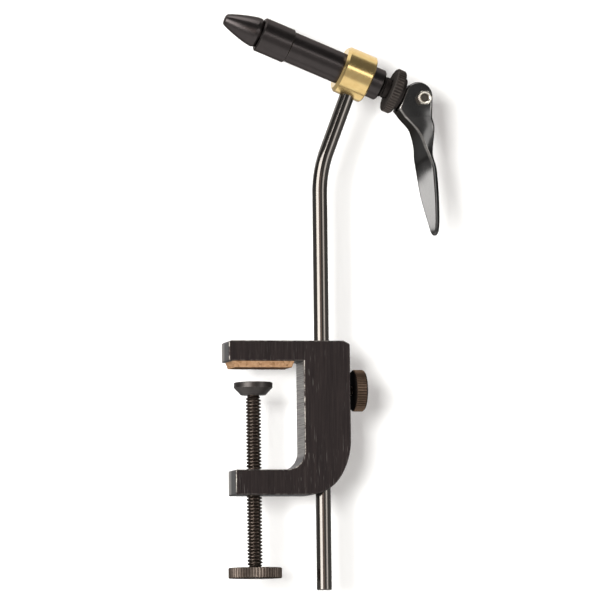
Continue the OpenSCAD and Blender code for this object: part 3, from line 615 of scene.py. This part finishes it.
# the lever's light edge colour is a painted highlight, not wear
lever_black = blackened_steel(
    "steel, cast, polished and blackened", tint="#555453", lift="#5c5b5a", roughness=0.2,
    axis=HEAD_AXIS, ring_mm=8.0, edge_wear_and_highlight="#cfcac4", grazing="#a09e9c")
dress(gun_black, "barrel", "collet_sleeve", "jaw_front", "jaw_back")
dress(pad_black, "swivel_pad")
dress(polished_black, "stem_post")
print("finish: four blackened steels")

# %% [markdown]
# ## Brass, nickel and bare steel
#
# The collar is turned brass, polished on the lathe: a warm mirror with very faint rings. The nut and the bolt
# are nickel-plated, a paler and warmer grey than chrome, and oil has dulled the bolt. The draw rod and the
# spring inside the barrel are bare drawn steel, a cooler grey with a soft sheen. A plain colour would do from
# afar; here faint rings and a cloudy tint keep the highlights from looking drawn with a ruler.

# %% Finishes of the bright pieces
BOLT_AXIS = Vector((0, 1, 0))


def bright_metal(name, tint, shade, roughness, axis, ring_mm, ring_relief=0.1):
    """A polished metal with the faint marks of the tool that made it."""
    material, tree, shader, place = new_finish(name)
    rings = turning_lines(tree, place, axis, ring_mm)
    cloud = add(tree, "ShaderNodeTexNoise", {"Vector": place, "Scale": 1 / (2.5 * MM), "Detail": 4.0})
    hue = add(tree, "ShaderNodeMix", {FACTOR: cloud, A: colour(tint), B: colour(shade)}, data_type="RGBA")
    gloss = add(tree, "ShaderNodeMapRange",
                {"Value": rings, "To Min": roughness * 0.7, "To Max": roughness * 1.3})
    relief = add(tree, "ShaderNodeBump", {"Height": rings, "Strength": ring_relief, "Distance": RING_DEPTH})
    join(tree, shader, {"Base Color": hue, "Roughness": gloss, "Normal": relief, "Metallic": 1.0})
    return material


brass = bright_metal("brass, turned and polished", "#f5d898", "#e8c380", roughness=0.22,
                     axis=HEAD_AXIS, ring_mm=0.5, ring_relief=0.04)
nickel = bright_metal("steel, nickel-plated", "#ece6da", "#ddd6c8", roughness=0.28,
                      axis=BOLT_AXIS, ring_mm=0.4)
oiled_nickel = bright_metal("steel, nickel-plated, dulled by oil", "#6f6a62", "#5d5851", roughness=0.4,
                            axis=BOLT_AXIS, ring_mm=0.4)
bare_steel = bright_metal("steel, drawn and bare", "#9b9792", "#8a8681", roughness=0.3,
                          axis=HEAD_AXIS, ring_mm=0.8)
dress(brass, "head_collar", "lock_shoe")
dress(oiled_nickel, "pivot_bolt")
dress(bare_steel, "draw_rod")
print("finish: brass, nickel and bare steel")

# %% [markdown]
# ## Meshes from rings
#
# The screws, the bent stem, the spring, the adjuster, the nut and the lever are all sweeps: rings of points
# that follow a path. One function joins such rings into a closed skin, so each piece below only has to say
# where its rings lie. Curves with a bevel could make some of them, but not a ring that changes its form.


# %% From rings to a closed skin
def smooth_piece(name, mesh, material, sharp_degrees):
    """A piece with soft shading, except along edges sharper than an angle."""
    mesh.shade_smooth()
    mesh.set_sharp_from_angle(angle=math.radians(sharp_degrees))
    mesh.materials.append(material)
    return in_scene(name, mesh)


def skin_of_rings(name, rings, material, sharp_degrees=35, bored=False):
    """A closed mesh over rings of equally many points; a bored one comes back to its first ring."""
    count, sides = len(rings), len(rings[0])
    index = np.arange(count * sides).reshape(count, sides)
    if bored:
        index = np.concatenate([index, index[:1]])
    after = np.roll(index, -1, axis=1)
    quads = np.stack([index[:-1], after[:-1], after[1:], index[1:]], axis=-1).reshape(-1, 4)
    faces = [tuple(quad) for quad in quads.tolist()]
    if not bored:
        faces += [tuple(index[0][::-1].tolist()), tuple(index[-1].tolist())]
    mesh = bpy.data.meshes.new(name)
    mesh.from_pydata(np.concatenate([np.asarray(ring) for ring in rings]).tolist(), [], faces)
    return smooth_piece(name, mesh, material, sharp_degrees)


def stand_for(piece, node, body):
    """The piece takes a CAD node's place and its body."""
    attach(piece, body)
    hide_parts(node)
    print(piece.name, "has", len(piece.data.polygons), "faces")


def full_turn(steps):
    """Angles of a ring's points."""
    return np.linspace(0, 2 * math.pi, steps, endpoint=False)


print("a ring of four points has the angles", full_turn(4).round(2).tolist())

# %% [markdown]
# ## Threaded rods
#
# A real thread is one groove that winds up the rod, and its slant shows at this scale. On a grid of rings, the
# radius at a height and an angle depends only on how far that point is along its own turn. At both ends the
# groove runs out into the root, as it does where a die is stopped. A Screw modifier could wind a profile round
# the rod, but its ends would stay open. The steel is browned like the wheels, and the thread's crests are worn
# bright by the tapped holes.

# %% Browned screw steel
screw_steel, tree, shader, place = new_finish("screw steel, cut thread, browned")
mottle = add(tree, "ShaderNodeTexNoise", {"Vector": place, "Scale": 1 / (1.2 * MM), "Detail": 4.0})
skin = add(tree, "ShaderNodeValToRGB", {"Fac": mottle},
           stops=[(0.3, colour("#3d342e")), (0.5, colour("#4b413a")), (0.7, colour("#594d45"))])
worn = add(tree, "ShaderNodeMix", {FACTOR: worn_edges(tree, 0.25), A: skin, B: colour("#a3968a")},
           data_type="RGBA")
join(tree, shader, {"Base Color": worn, "Metallic": 0.85, "Roughness": 0.3})
print("finish:", screw_steel.name)

# %% Rings of a thread
THREAD_SIDES, STEPS_PER_PITCH = 48, 14
ROOT_FLAT, CREST_FLAT = 0.08, 0.34
turn = full_turn(THREAD_SIDES)


def thread_rise(share):
    """How far a thread has risen from root to crest, at a share of its own turn."""
    climb = 2 * np.minimum(share, 1 - share)
    return np.clip((climb - ROOT_FLAT) / (1 - ROOT_FLAT - CREST_FLAT), 0, 1)


def round_ring(radius, height):
    """A level ring round the Z axis."""
    radius = np.broadcast_to(radius, turn.shape)
    return np.stack([radius * np.cos(turn), radius * np.sin(turn), np.full_like(turn, height)], axis=1)


def thread_rings(root, crest, pitch, start, end):
    """Rings of a right-handed thread between two heights."""
    rings = []
    for height in np.arange(start, end, pitch / STEPS_PER_PITCH):
        rise = thread_rise((height / pitch - turn / (2 * math.pi)) % 1)
        run_out = min(1, (height - start) / pitch, (end - height) / pitch)
        rings.append(round_ring(root + (crest - root) * rise * run_out, height))
    return rings


def threaded_rod(name, foot, thread, head, placement):
    """A rod with a thread between two plain turned ends, given as (radius, height) in millimetres."""
    rings = [round_ring(*point) for point in foot]
    rings += thread_rings(*thread)
    rings += [round_ring(*point) for point in head]
    piece = skin_of_rings(name, [ring * MM for ring in rings], screw_steel)
    piece.data.transform(placement)
    return piece


print("a thread has", STEPS_PER_PITCH, "rings to a pitch")

# %% Clamp screw
SCREW_ROOT_R, SCREW_CREST_R, SCREW_PITCH = 2.97, 3.97, 1.76
STUB_R, STUB_CHAMFER = 2.8, 0.3
NECK_R, PEEN_R, PEEN_T = 2.6, 3.8, 1.2
PAD_GAP, THREAD_GAP = 0.1, 0.02
wheel_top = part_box("clamp_thumbwheel")[1].z / MM
pad_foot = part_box("swivel_pad")[0].z / MM
screw_low, screw_high = (corner.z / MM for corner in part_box("clamp_screw"))
screw_top = pad_foot - PAD_GAP
peen_floor = screw_high - PEEN_T
clamp_screw = threaded_rod(
    "clamp_screw_thread",
    foot=[(STUB_R - STUB_CHAMFER, screw_low), (STUB_R, screw_low + STUB_CHAMFER), (STUB_R, wheel_top),
          (SCREW_ROOT_R, wheel_top)],
    thread=(SCREW_ROOT_R, SCREW_CREST_R, SCREW_PITCH, wheel_top + THREAD_GAP, screw_top),
    head=[(SCREW_ROOT_R, screw_top), (NECK_R, screw_top), (NECK_R, peen_floor), (PEEN_R, peen_floor),
          (PEEN_R, peen_floor + PEEN_T / 2), (NECK_R, screw_high)],
    placement=Matrix.Identity(4),
)
stand_for(clamp_screw, "clamp_screw", "clamp_screw")

# %% Lock screw
LOCK_ROOT_R, LOCK_CREST_R, LOCK_PITCH, LOCK_CHAMFER = 2.45, 3.0, 1.0, 0.4
KNOB_STUB_R, KNOB_STUB_CHAMFER, THREAD_LEAD = 2.2, 0.3, 0.45
lock_low, lock_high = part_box("lock_screw")
lock_tip, lock_end = lock_low.x / MM, lock_high.x / MM
knob_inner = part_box("lock_knob")[0].x / MM
lock_height = Matrix.Translation((0, 0, (lock_low.z + lock_high.z) / 2))
lock_screw = threaded_rod(
    "lock_screw_thread",
    foot=[(LOCK_ROOT_R - LOCK_CHAMFER, lock_tip), (LOCK_ROOT_R, lock_tip + LOCK_CHAMFER)],
    thread=(LOCK_ROOT_R, LOCK_CREST_R, LOCK_PITCH, lock_tip + THREAD_LEAD, knob_inner),
    head=[(LOCK_ROOT_R, knob_inner), (KNOB_STUB_R, knob_inner), (KNOB_STUB_R, lock_end - KNOB_STUB_CHAMFER),
          (KNOB_STUB_R - KNOB_STUB_CHAMFER, lock_end)],
    placement=lock_height @ Matrix.Rotation(math.pi / 2, 4, "Y"),
)
stand_for(lock_screw, "lock_screw", "lock_screw")

# %% [markdown]
# ## Bent stem
#
# The upper stem is the same polished rod, bent round a former and let into the collar. Its solid has flat
# facets, so rings square to the path replace it, close enough together for a clean reflection. A curve with a
# bevel could do it too, but rings end exactly where the solid ends.

# %% Rings along the bend
BEND_R, BEND_LEAN = 63.0, math.radians(21)
STEM_SIDES, BEND_RINGS, STRAIGHT_RINGS = 64, 28, 10
post_low, post_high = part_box("stem_post")
neck_low, neck_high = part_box("stem_neck")
stem_x = (post_low.x + post_high.x) / 2 / MM
stem_r = (post_high.x - post_low.x) / 2 / MM
bend_from = neck_low.z / MM
neck_turn = full_turn(STEM_SIDES)


def stem_ring(lean, x, z):
    """A ring round the stem, square to its path."""
    outward = np.array([math.cos(lean), 0, -math.sin(lean)])
    across = np.array([0, 1, 0])
    spokes = np.outer(np.cos(neck_turn), outward) + np.outer(np.sin(neck_turn), across)
    return np.array([x, 0, z]) + stem_r * spokes


def on_bend(lean):
    """X and Z of the stem's middle where the bend has reached a lean."""
    return stem_x + BEND_R * (1 - math.cos(lean)), bend_from + BEND_R * math.sin(lean)


neck_rings = [stem_ring(lean, *on_bend(lean)) for lean in np.linspace(0, BEND_LEAN, BEND_RINGS)]
end_x, end_z = on_bend(BEND_LEAN)
straight = (neck_high.z / MM - stem_r * math.sin(BEND_LEAN) - end_z) / math.cos(BEND_LEAN)
for along in straight * np.linspace(1 / STRAIGHT_RINGS, 1, STRAIGHT_RINGS):
    neck_rings.append(stem_ring(BEND_LEAN, end_x + along * math.sin(BEND_LEAN),
                                end_z + along * math.cos(BEND_LEAN)))
stem_neck = skin_of_rings("stem_neck_bent", [ring * MM for ring in neck_rings], polished_black)
stand_for(stem_neck, "stem_neck", "head")

# %% [markdown]
# ## Return spring
#
# The spring sits inside the barrel and pushes the collet forward. It is round wire on a helix, so its rings
# follow the helix. The helix climbs only a little with each curl, so each ring can stay in a plane with the
# head's axis, which is simpler than squaring it to the wire.

# %% Wire on a helix
SPRING_R, WIRE_R, CURLS = 4.85, 0.5, 7
STEPS_PER_CURL, WIRE_SIDES = 36, 12
SPRING_FROM, SPRING_TO = -27.1, -8.6
head_up = HEAD_AXIS.cross(BOLT_AXIS)
spring_steps = CURLS * STEPS_PER_CURL
spring_rings = []
for step in range(spring_steps + 1):
    angle = 2 * math.pi * step / STEPS_PER_CURL
    out = math.cos(angle) * head_up + math.sin(angle) * BOLT_AXIS
    along = SPRING_FROM + (SPRING_TO - SPRING_FROM) * step / spring_steps
    middle = head_centre + (SPRING_R * out + along * HEAD_AXIS) * MM
    spring_rings.append([middle + WIRE_R * MM * (math.cos(b) * out + math.sin(b) * HEAD_AXIS)
                         for b in full_turn(WIRE_SIDES)])
spring_wire = bright_metal("spring wire, drawn", "#a5a29d", "#93908b", roughness=0.28,
                           axis=HEAD_AXIS, ring_mm=0.3)
return_spring = skin_of_rings("return_spring_wire", spring_rings, spring_wire)
stand_for(return_spring, "return_spring", "head")

# %% [markdown]
# ## Adjuster
#
# The adjuster is one turned piece: a threaded neck that screws into the barrel, a shoulder, a wheel with
# straight knurling, and a boss that the cam bears on. Its rings run round the head's axis and come back
# through the bore. Cutting the knurl with booleans would take 44 cuts. Here the radius on the wheel is the
# smaller of the knurl's and the bevel's, which is how a lathe bevels a knurled rim.

# %% Rings round the head's axis
TEETH, POINTS_PER_TOOTH = 44, 6
KNURL_CREST_R, KNURL_GROOVE_R = 12.0, 11.6
NECK_CREST_R, NECK_ROOT_R, NECK_PITCH, NECK_STEPS, NECK_CHAMFER = 5.6, 5.05, 1.25, 10, 0.4
NECK_FROM, THREAD_FROM, THREAD_TO, SHOULDER_TO, WHEEL_FROM = 1.0, 14.5, 17.4, 19.6, 20.0
ROD_BORE_R, BOSS_R, BOSS_END, BOSS_CHAMFER = 3.56, 8.5, 27.08, 0.3
# distance along the wheel, and the radius that the lathe leaves there
WHEEL_PROFILE = [(0, 11.2), (0.4, 11.6), (0.8, 12.0), (4.4, 12.0), (4.8, 11.6), (5.2, 11.2)]
wheel_turn = full_turn(TEETH * POINTS_PER_TOOTH)
tooth = wheel_turn * TEETH / (2 * math.pi) % 1
knurl = KNURL_GROOVE_R + (KNURL_CREST_R - KNURL_GROOVE_R) * 2 * np.minimum(tooth, 1 - tooth)
wheel_to = WHEEL_FROM + WHEEL_PROFILE[-1][0]


def axis_ring(radius, along):
    """A ring round the head's axis, in metres."""
    spokes = np.outer(np.cos(wheel_turn), head_up) - np.outer(np.sin(wheel_turn), BOLT_AXIS)
    middle = np.array(head_centre) + along * MM * np.array(HEAD_AXIS)
    return middle + MM * spokes * np.reshape(radius, (-1, 1))


profile = [(NECK_CREST_R - NECK_CHAMFER, NECK_FROM), (NECK_CREST_R, NECK_FROM + NECK_CHAMFER)]
for along in np.arange(THREAD_FROM, THREAD_TO, NECK_PITCH / NECK_STEPS):
    risen = thread_rise((along / NECK_PITCH - wheel_turn / (2 * math.pi)) % 1)
    profile.append((NECK_ROOT_R + (NECK_CREST_R - NECK_ROOT_R) * risen, along))
profile += [(NECK_ROOT_R, THREAD_TO), (NECK_CREST_R, THREAD_TO), (NECK_CREST_R, SHOULDER_TO - NECK_CHAMFER),
            (NECK_ROOT_R, SHOULDER_TO), (NECK_ROOT_R, WHEEL_FROM)]
profile += [(np.minimum(limit, knurl), WHEEL_FROM + along) for along, limit in WHEEL_PROFILE]
profile += [(BOSS_R, wheel_to), (BOSS_R, BOSS_END - BOSS_CHAMFER), (BOSS_R - BOSS_CHAMFER, BOSS_END),
            (ROD_BORE_R, BOSS_END), (ROD_BORE_R, NECK_FROM)]
adjuster = skin_of_rings("adjuster_turned", [axis_ring(*point) for point in profile], adjuster_steel,
                         sharp_degrees=25, bored=True)
stand_for(adjuster, "adjuster", "adjuster")

# %% [markdown]
# ## Pivot nut
#
# The nut on the near side is an ordinary hex nut: its front corners are turned off, and its hole is
# countersunk. The bolt ends inside it, so the hole looks dark. The rings go round the bolt, from the lever
# outwards and back through the hole, and a radius is again the smaller of two: the hexagon's and the lathe's.

# %% Hex rings round the bolt
NUT_AF, NUT_HOLE_R, NUT_BACK, NUT_SIDES = 7.0, 2.03, 7.1, 72
# distance from the lever's side, and the radius that the lathe leaves there
NUT_TURNED = [(0, 9.0), (2.35, 9.0), (2.75, 3.85), (3.05, 3.6), (3.2, 3.2), (3.2, 2.75), (2.8, 2.3),
              (1.4, NUT_HOLE_R), (0, NUT_HOLE_R)]
nut_turn = full_turn(NUT_SIDES)
hexagon = NUT_AF / 2 / np.cos(nut_turn % (math.pi / 3) - math.pi / 6)
nut_rings = []
for along, limit in NUT_TURNED:
    radius = np.minimum(hexagon, limit)
    ring = np.stack([radius * np.cos(nut_turn), np.full_like(radius, -NUT_BACK - along),
                     radius * np.sin(nut_turn)], axis=1)
    nut_rings.append(np.array(pivot) + MM * ring)
pivot_nut = skin_of_rings("pivot_nut_hex", nut_rings, nickel, sharp_degrees=25, bored=True)
stand_for(pivot_nut, "pivot_nut", "draw_rod")
head_only.objects.link(pivot_nut)

# %% [markdown]
# ## Cork pad
#
# The pad is cut from pressed cork sheet and glued under the upper arm. A knife leaves its ends sloping and its
# sides a little torn; its underside is painted darker as painted shade. The mesh is a box cut into small cells
# whose points are pushed in by noise, since displacement in a material would stay out of the mesh. The colour
# comes from Voronoi cells the size of cork granules.

# %% Cork finish
cork, tree, shader, place = new_finish("cork sheet, pressed granules")
granules = add(tree, "ShaderNodeTexVoronoi", {"Vector": place, "Scale": 1 / (1.1 * MM), "Randomness": 1.0})
grain = add(tree, "ShaderNodeSeparateColor", {"Color": granules.outputs["Color"]})
fine = add(tree, "ShaderNodeTexNoise",
           {"Vector": place, "Scale": 1 / (0.6 * MM), "Detail": 4.0, "Roughness": 0.7})
shade = add(tree, "ShaderNodeMath", {0: grain.outputs["Red"], 1: fine}, operation="MULTIPLY")
tan = add(tree, "ShaderNodeValToRGB", {"Fac": shade},
          stops=[(0.02, colour("#94704f")), (0.1, colour("#b08763")), (0.35, colour("#be9570")),
                 (0.6, colour("#cba47f"))])
facing = add(tree, "ShaderNodeSeparateXYZ", {"Vector": own_normal(tree)})
# painted shade: faces turned down are painted darker, and pressed below holds the cork with that painted shade
painted_underside_shade = add(tree, "ShaderNodeMapRange", {"Value": facing.outputs["Z"], "From Min": -0.4, "From Max": -0.8})
pressed = add(tree, "ShaderNodeMix", {FACTOR: painted_underside_shade, A: tan, B: colour("#6b4f3a")}, data_type="RGBA")
pits = add(tree, "ShaderNodeBump", {"Height": shade, "Strength": 0.6, "Distance": 0.25 * MM})
join(tree, shader, {"Base Color": pressed, "Normal": pits, "Roughness": 0.9, "Specular IOR Level": 0.2})
print("finish:", cork.name)

# %% Cork cut into cells
CELL_MM = 0.7
cork_low, cork_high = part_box("cork_pad")
cork_size = cork_high - cork_low
cork_middle = (cork_low + cork_high) / 2
cells = bmesh.new()
bmesh.ops.create_cube(cells, size=1.0)
bmesh.ops.transform(cells, verts=cells.verts,
                    matrix=Matrix.Translation(cork_middle) @ Matrix.Diagonal((*cork_size, 1)))
for axis in range(3):
    cuts = round(cork_size[axis] / (CELL_MM * MM))
    for step in range(1, cuts):
        place_on_axis = cork_low.copy()
        place_on_axis[axis] += cork_size[axis] * step / cuts
        normal = Vector([1.0 if k == axis else 0.0 for k in range(3)])
        bmesh.ops.bisect_plane(cells, geom=cells.verts[:] + cells.edges[:] + cells.faces[:],
                               plane_co=place_on_axis, plane_no=normal)
print("cork cut into", len(cells.faces), "cells")

# %% Torn sides and sloping ends
TEAR_MM, TEAR_GRAIN_MM, END_SLOPE_MM = 0.25, 1.6, 1.3
END_PART = 6  # the slope takes up a sixth of each half
GLUE_LINE = 0.01 * MM
TEAR_FADE, TEAR_FINER, TEAR_LAYERS = 0.8, 2.0, 3
cells.normal_update()
for vert in cells.verts:
    layers = noise.fractal(vert.co / (TEAR_GRAIN_MM * MM), TEAR_FADE, TEAR_FINER, TEAR_LAYERS)
    tear = 0.5 + 0.5 * layers
    inward = -vert.normal
    if vert.co.z > cork_high.z - GLUE_LINE:
        inward.z = 0
    below = (cork_high.z - vert.co.z) / cork_size.z
    from_middle = abs(vert.co.x - cork_middle.x) / (cork_size.x / 2)
    end_share = max(0.0, from_middle * END_PART - (END_PART - 1))
    slope = math.copysign(END_SLOPE_MM * below * end_share, cork_middle.x - vert.co.x)
    vert.co += inward * min(max(tear, 0), 1) * TEAR_MM * MM + Vector((slope * MM, 0, 0))
cork_mesh = bpy.data.meshes.new("cork_strip")
cells.to_mesh(cork_mesh)
cells.free()
cork_strip = smooth_piece("cork_strip", cork_mesh, cork, sharp_degrees=50)
stand_for(cork_strip, "cork_pad", "clamp")

# %% [markdown]
# ## Cam lever
#
# The lever is one casting: a forked cam head that swings on the bolt, a neck that narrows and twists, and a
# thin thumb paddle. Level rings run from the crown of the cam down to the paddle's tip. A ring is a rectangle
# with rounded corners, which carries the soft edge that catches the light, and its near side and left flank
# are bowed a little, as polishing leaves them. In the head, the ring's ends follow the cam's round and its
# flat. Below it, control sections give centre, thickness, width and twist. A rough block with a Subdivision
# modifier would be quicker, but its edges would all come out equally soft. The fork's slot and the bolt's hole
# are cut last.

# %% Sizes of the lever
tilt = math.atan2(-HEAD_AXIS.z, HEAD_AXIS.x)
FORK_W = 14.0
NEAR_ROUND, FAR_ROUND, CORNER_STEPS = 1.2, 0.3, 8
HOLD = 0.03  # a point this share of a side away from each corner holds the side flat
MOST_ROUND = 0.45  # a corner's rounding takes up this share of a thin side at most
CORNERS = ((1, -1), (1, 1), (-1, 1), (-1, -1))
CAM_R, CAM_OFFSET, CAM_FLAT = 7.6, 2.7, 10.2
ROOT_DROP, LEVER_L, TIP_X = 10.0, 72.0, 6.9
PADDLE_W, PADDLE_T, PADDLE_TWIST = 11.8, 4.2, math.radians(52)
CROWN_DEGREES, CROWN_RINGS, CHEEK_RINGS, BLADE_RINGS = 86, 26, 24, 96
SIDE_STEPS, CHEEK_BOW, FLANK_BOW = 9, 0.045, 0.018
CHEEK_BOW_FROM, FLANK_BOW_FROM, FLANK_BOW_TO, BOW_GROWS = 2.0, 12.0, 40.0, 8.0
# share of the blade's length, centre, thickness, width, twist
STATIONS = np.array([
    [0.00, -2.6, 15.0, FORK_W, 0],
    [0.08, 0.2, 11.6, 0.96 * FORK_W, 0.04 * PADDLE_TWIST],
    [0.16, 1.0, 8.4, 0.89 * FORK_W, 0.22 * PADDLE_TWIST],
    [0.25, 1.3, 5.8, 0.80 * FORK_W, 0.43 * PADDLE_TWIST],
    [0.33, 1.4, 3.6, PADDLE_W, 0.64 * PADDLE_TWIST],
    [0.41, 2.5, 0.86 * PADDLE_T, PADDLE_W, 0.82 * PADDLE_TWIST],
    [0.52, 0.50 * TIP_X, PADDLE_T, 0.91 * PADDLE_W, 0.96 * PADDLE_TWIST],
    [0.68, 0.67 * TIP_X, PADDLE_T, 0.79 * PADDLE_W, PADDLE_TWIST],
    [0.84, 0.88 * TIP_X, PADDLE_T, 0.56 * PADDLE_W, PADDLE_TWIST],
    [0.94, 0.99 * TIP_X, 0.92 * PADDLE_T, 0.38 * PADDLE_W, PADDLE_TWIST],
    [0.98, TIP_X, 0.72 * PADDLE_T, 0.27 * PADDLE_W, PADDLE_TWIST],
    [1.00, TIP_X, 0.40 * PADDLE_T, 0.14 * PADDLE_W, PADDLE_TWIST],
])
nose = np.array([-math.cos(tilt), math.sin(tilt)])
flat_up = np.array([math.sin(tilt), math.cos(tilt)])
cam_centre = CAM_OFFSET * nose
flat_top = (CAM_OFFSET + CAM_R) * nose
heel = flat_top - CAM_FLAT * flat_up
root_left = STATIONS[0][1] - STATIONS[0][2] / 2
root_right = STATIONS[0][1] + STATIONS[0][2] / 2
print("the head's axis tilts by", round(math.degrees(tilt), 1), "degrees, the paddle by",
      round(math.degrees(PADDLE_TWIST)))


# %% Bowed sides
def grown(start, z):
    """Zero above a start below the pivot, one a little further down, smooth between."""
    ramp = min(max((-z - start) / BOW_GROWS, 0), 1)
    return ramp * ramp * (3 - 2 * ramp)


def between(first, last):
    """Points evenly spaced on the side between two corners."""
    steps = np.linspace(0, 1, SIDE_STEPS + 2)[1:-1]
    return [tuple(np.add(first, np.subtract(last, first) * k)) for k in steps]


def bowed(corners, centre, half_across, half_deep, z):
    """A ring with more points on its near side and left flank, both bowed so that their ends lie back."""
    last = len(corners) * 3 // 4  # where the fourth corner starts
    ring = (corners[:last] + between(corners[last - 1], corners[last]) + corners[last:]
            + between(corners[-1], corners[0]))
    cheek = CHEEK_BOW * 2 * half_across * grown(CHEEK_BOW_FROM, z)
    flank = FLANK_BOW * 2 * half_deep * (grown(FLANK_BOW_FROM, z) - grown(FLANK_BOW_TO, z))
    return [(t + flank * (w / half_deep) ** 2 * max(centre - t, 0) / half_across,
             w + cheek * ((t - centre) / half_across) ** 2 * max(-w, 0) / half_deep) for t, w in ring]


print("the cheek is bowed by", CHEEK_BOW, "of its width")


# %% Rings of the neck and the paddle
def station(place):
    """The blade's section at a place counted in stations, on a smooth curve through them."""
    last = len(STATIONS) - 1
    i = min(int(place), last - 1)
    a, b, c, d = (STATIONS[max(0, min(k, last))] for k in range(i - 1, i + 3))
    t = place - i
    return b + t / 2 * (c - a + t * (2 * a - 5 * b + 4 * c - d + t * (3 * (b - c) + d - a)))


def blade_ring(section):
    """A rounded rectangle, turned by the section's twist, with points that hold its sides flat."""
    share, centre, thickness, width, twist = section
    z = -ROOT_DROP - share * (LEVER_L - ROOT_DROP)
    points = []
    for q, (side_t, side_w) in enumerate(CORNERS):
        soft = min(NEAR_ROUND if side_w < 0 else FAR_ROUND, MOST_ROUND * thickness, MOST_ROUND * width)
        arc = np.radians(90 * (q - 1) + np.linspace(0, 90, CORNER_STEPS))
        corner = [(side_t * (thickness / 2 - soft) + soft * math.cos(a),
                   side_w * (width / 2 - soft) + soft * math.sin(a)) for a in arc]
        (first_t, first_w), (last_t, last_w) = corner[0], corner[-1]
        hold_t, hold_w = HOLD * side_t * thickness, HOLD * side_w * width
        if q % 2:
            points += [(first_t, first_w - hold_w), *corner, (last_t - hold_t, last_w)]
        else:
            points += [(first_t - hold_t, first_w), *corner, (last_t, last_w - hold_w)]
    c, s = math.cos(twist), math.sin(twist)
    return np.array([(centre + t * c - w * s, t * s + w * c, z)
                     for t, w in bowed(points, 0, thickness / 2, width / 2, z)])


blade_rings = [blade_ring(station(place)) for place in np.linspace(0, len(STATIONS) - 1, BLADE_RINGS)]
print("blade of", len(blade_rings), "rings of", len(blade_rings[0]), "points")


# %% Rings of the cam head
def head_side(side, z, inset):
    """X of the cam head's left or right face at a height, drawn in by an inset near the cheeks."""
    if z >= (cam_centre[1] if side > 0 else flat_top[1]):
        return cam_centre[0] + side * math.sqrt(max(0, (CAM_R - inset) ** 2 - (z - cam_centre[1]) ** 2))
    if side > 0:
        share = (z + ROOT_DROP) / (cam_centre[1] + ROOT_DROP)
        return root_right + share * (cam_centre[0] + CAM_R - root_right) - inset
    if z >= heel[1]:
        share = (z - heel[1]) / (flat_top[1] - heel[1])
        return heel[0] + share * (flat_top[0] - heel[0]) + inset
    share = (z + ROOT_DROP) / (heel[1] + ROOT_DROP)
    return root_left + share * (heel[0] - root_left) + inset


def head_ring(z):
    """A level ring of the cam head, with its corners rounded over the crown as well."""
    room = CAM_R - (z - cam_centre[1])
    points = []
    for q, (side_x, side_y) in enumerate(CORNERS):
        soft = NEAR_ROUND if side_y < 0 else FAR_ROUND
        reach = math.pi / 2 if room >= soft else math.acos(1 - room / soft)
        arc = [(head_side(side_x, z, soft * (1 - math.cos(lean))),
                side_y * (FORK_W / 2 - soft + soft * math.sin(lean)))
               for lean in np.linspace(0, reach, CORNER_STEPS)]
        wide = head_side(1, z, soft) - head_side(-1, z, soft)
        hold_x = HOLD * side_x * wide if room >= soft else 0
        hold_y = HOLD * side_y * FORK_W
        corner = [(arc[0][0], arc[0][1] - hold_y), *arc, (arc[-1][0] - hold_x, arc[-1][1])]
        points += corner if q % 2 else corner[::-1]
    left, right = head_side(-1, z, 0), head_side(1, z, 0)
    return np.array([(x, y, z) for x, y in bowed(points, (left + right) / 2, (right - left) / 2,
                                                 FORK_W / 2, z)])


crown_angles = np.radians(np.linspace(CROWN_DEGREES, 0, CROWN_RINGS))
heights = [cam_centre[1] + CAM_R * math.sin(a) for a in crown_angles]
heights += list(np.linspace(cam_centre[1], -ROOT_DROP, CHEEK_RINGS))[1:-1]
lever_rings = [head_ring(z) for z in heights] + blade_rings
lever = skin_of_rings("cam_lever_body", [np.array(pivot) + ring * MM for ring in reversed(lever_rings)],
                      lever_black)
print("lever before its cuts:", len(lever.data.vertices), "points")


# %% Slot and bolt hole
def cutter(name, make, matrix):
    """A closed shape that is cut away and then removed."""
    shape = bmesh.new()
    make(shape)
    bmesh.ops.transform(shape, verts=shape.verts, matrix=matrix)
    mesh = bpy.data.meshes.new(name)
    shape.to_mesh(mesh)
    shape.free()
    return in_scene(name, mesh)


SLOT_W, SLOT_FLOOR, SLOT_DEEP, SLOT_LONG = 5.4, 6.5, 40, 60
BOLT_HOLE_R, HOLE_SIDES, HOLE_LONG = 2.06, 48, 40
slot_size = Vector((SLOT_LONG, SLOT_W, SLOT_DEEP)) * MM
slot_place = Matrix.Translation(pivot + Vector((0, 0, slot_size.z / 2 - SLOT_FLOOR * MM)))
slot_cutter = cutter("slot_cutter", lambda shape: bmesh.ops.create_cube(shape, size=1.0),
                     slot_place @ Matrix.Diagonal((*slot_size, 1)))
hole_cutter = cutter("hole_cutter", lambda shape: bmesh.ops.create_cone(
    shape, cap_ends=True, segments=HOLE_SIDES, radius1=BOLT_HOLE_R * MM, radius2=BOLT_HOLE_R * MM,
    depth=HOLE_LONG * MM), Matrix.Translation(pivot) @ Matrix.Rotation(math.pi / 2, 4, "X"))
for tool in (slot_cutter, hole_cutter):
    cut = lever.modifiers.new(tool.name, "BOOLEAN")
    cut.object, cut.solver = tool, "EXACT"
bpy.context.view_layer.update()
cut_mesh = bpy.data.meshes.new_from_object(lever.evaluated_get(bpy.context.evaluated_depsgraph_get()))
lever.modifiers.clear()
lever.data = cut_mesh
for tool in (slot_cutter, hole_cutter):
    bpy.data.objects.remove(tool)
cut_mesh.set_sharp_from_angle(angle=math.radians(40))
stand_for(lever, "cam_lever", "cam_lever")
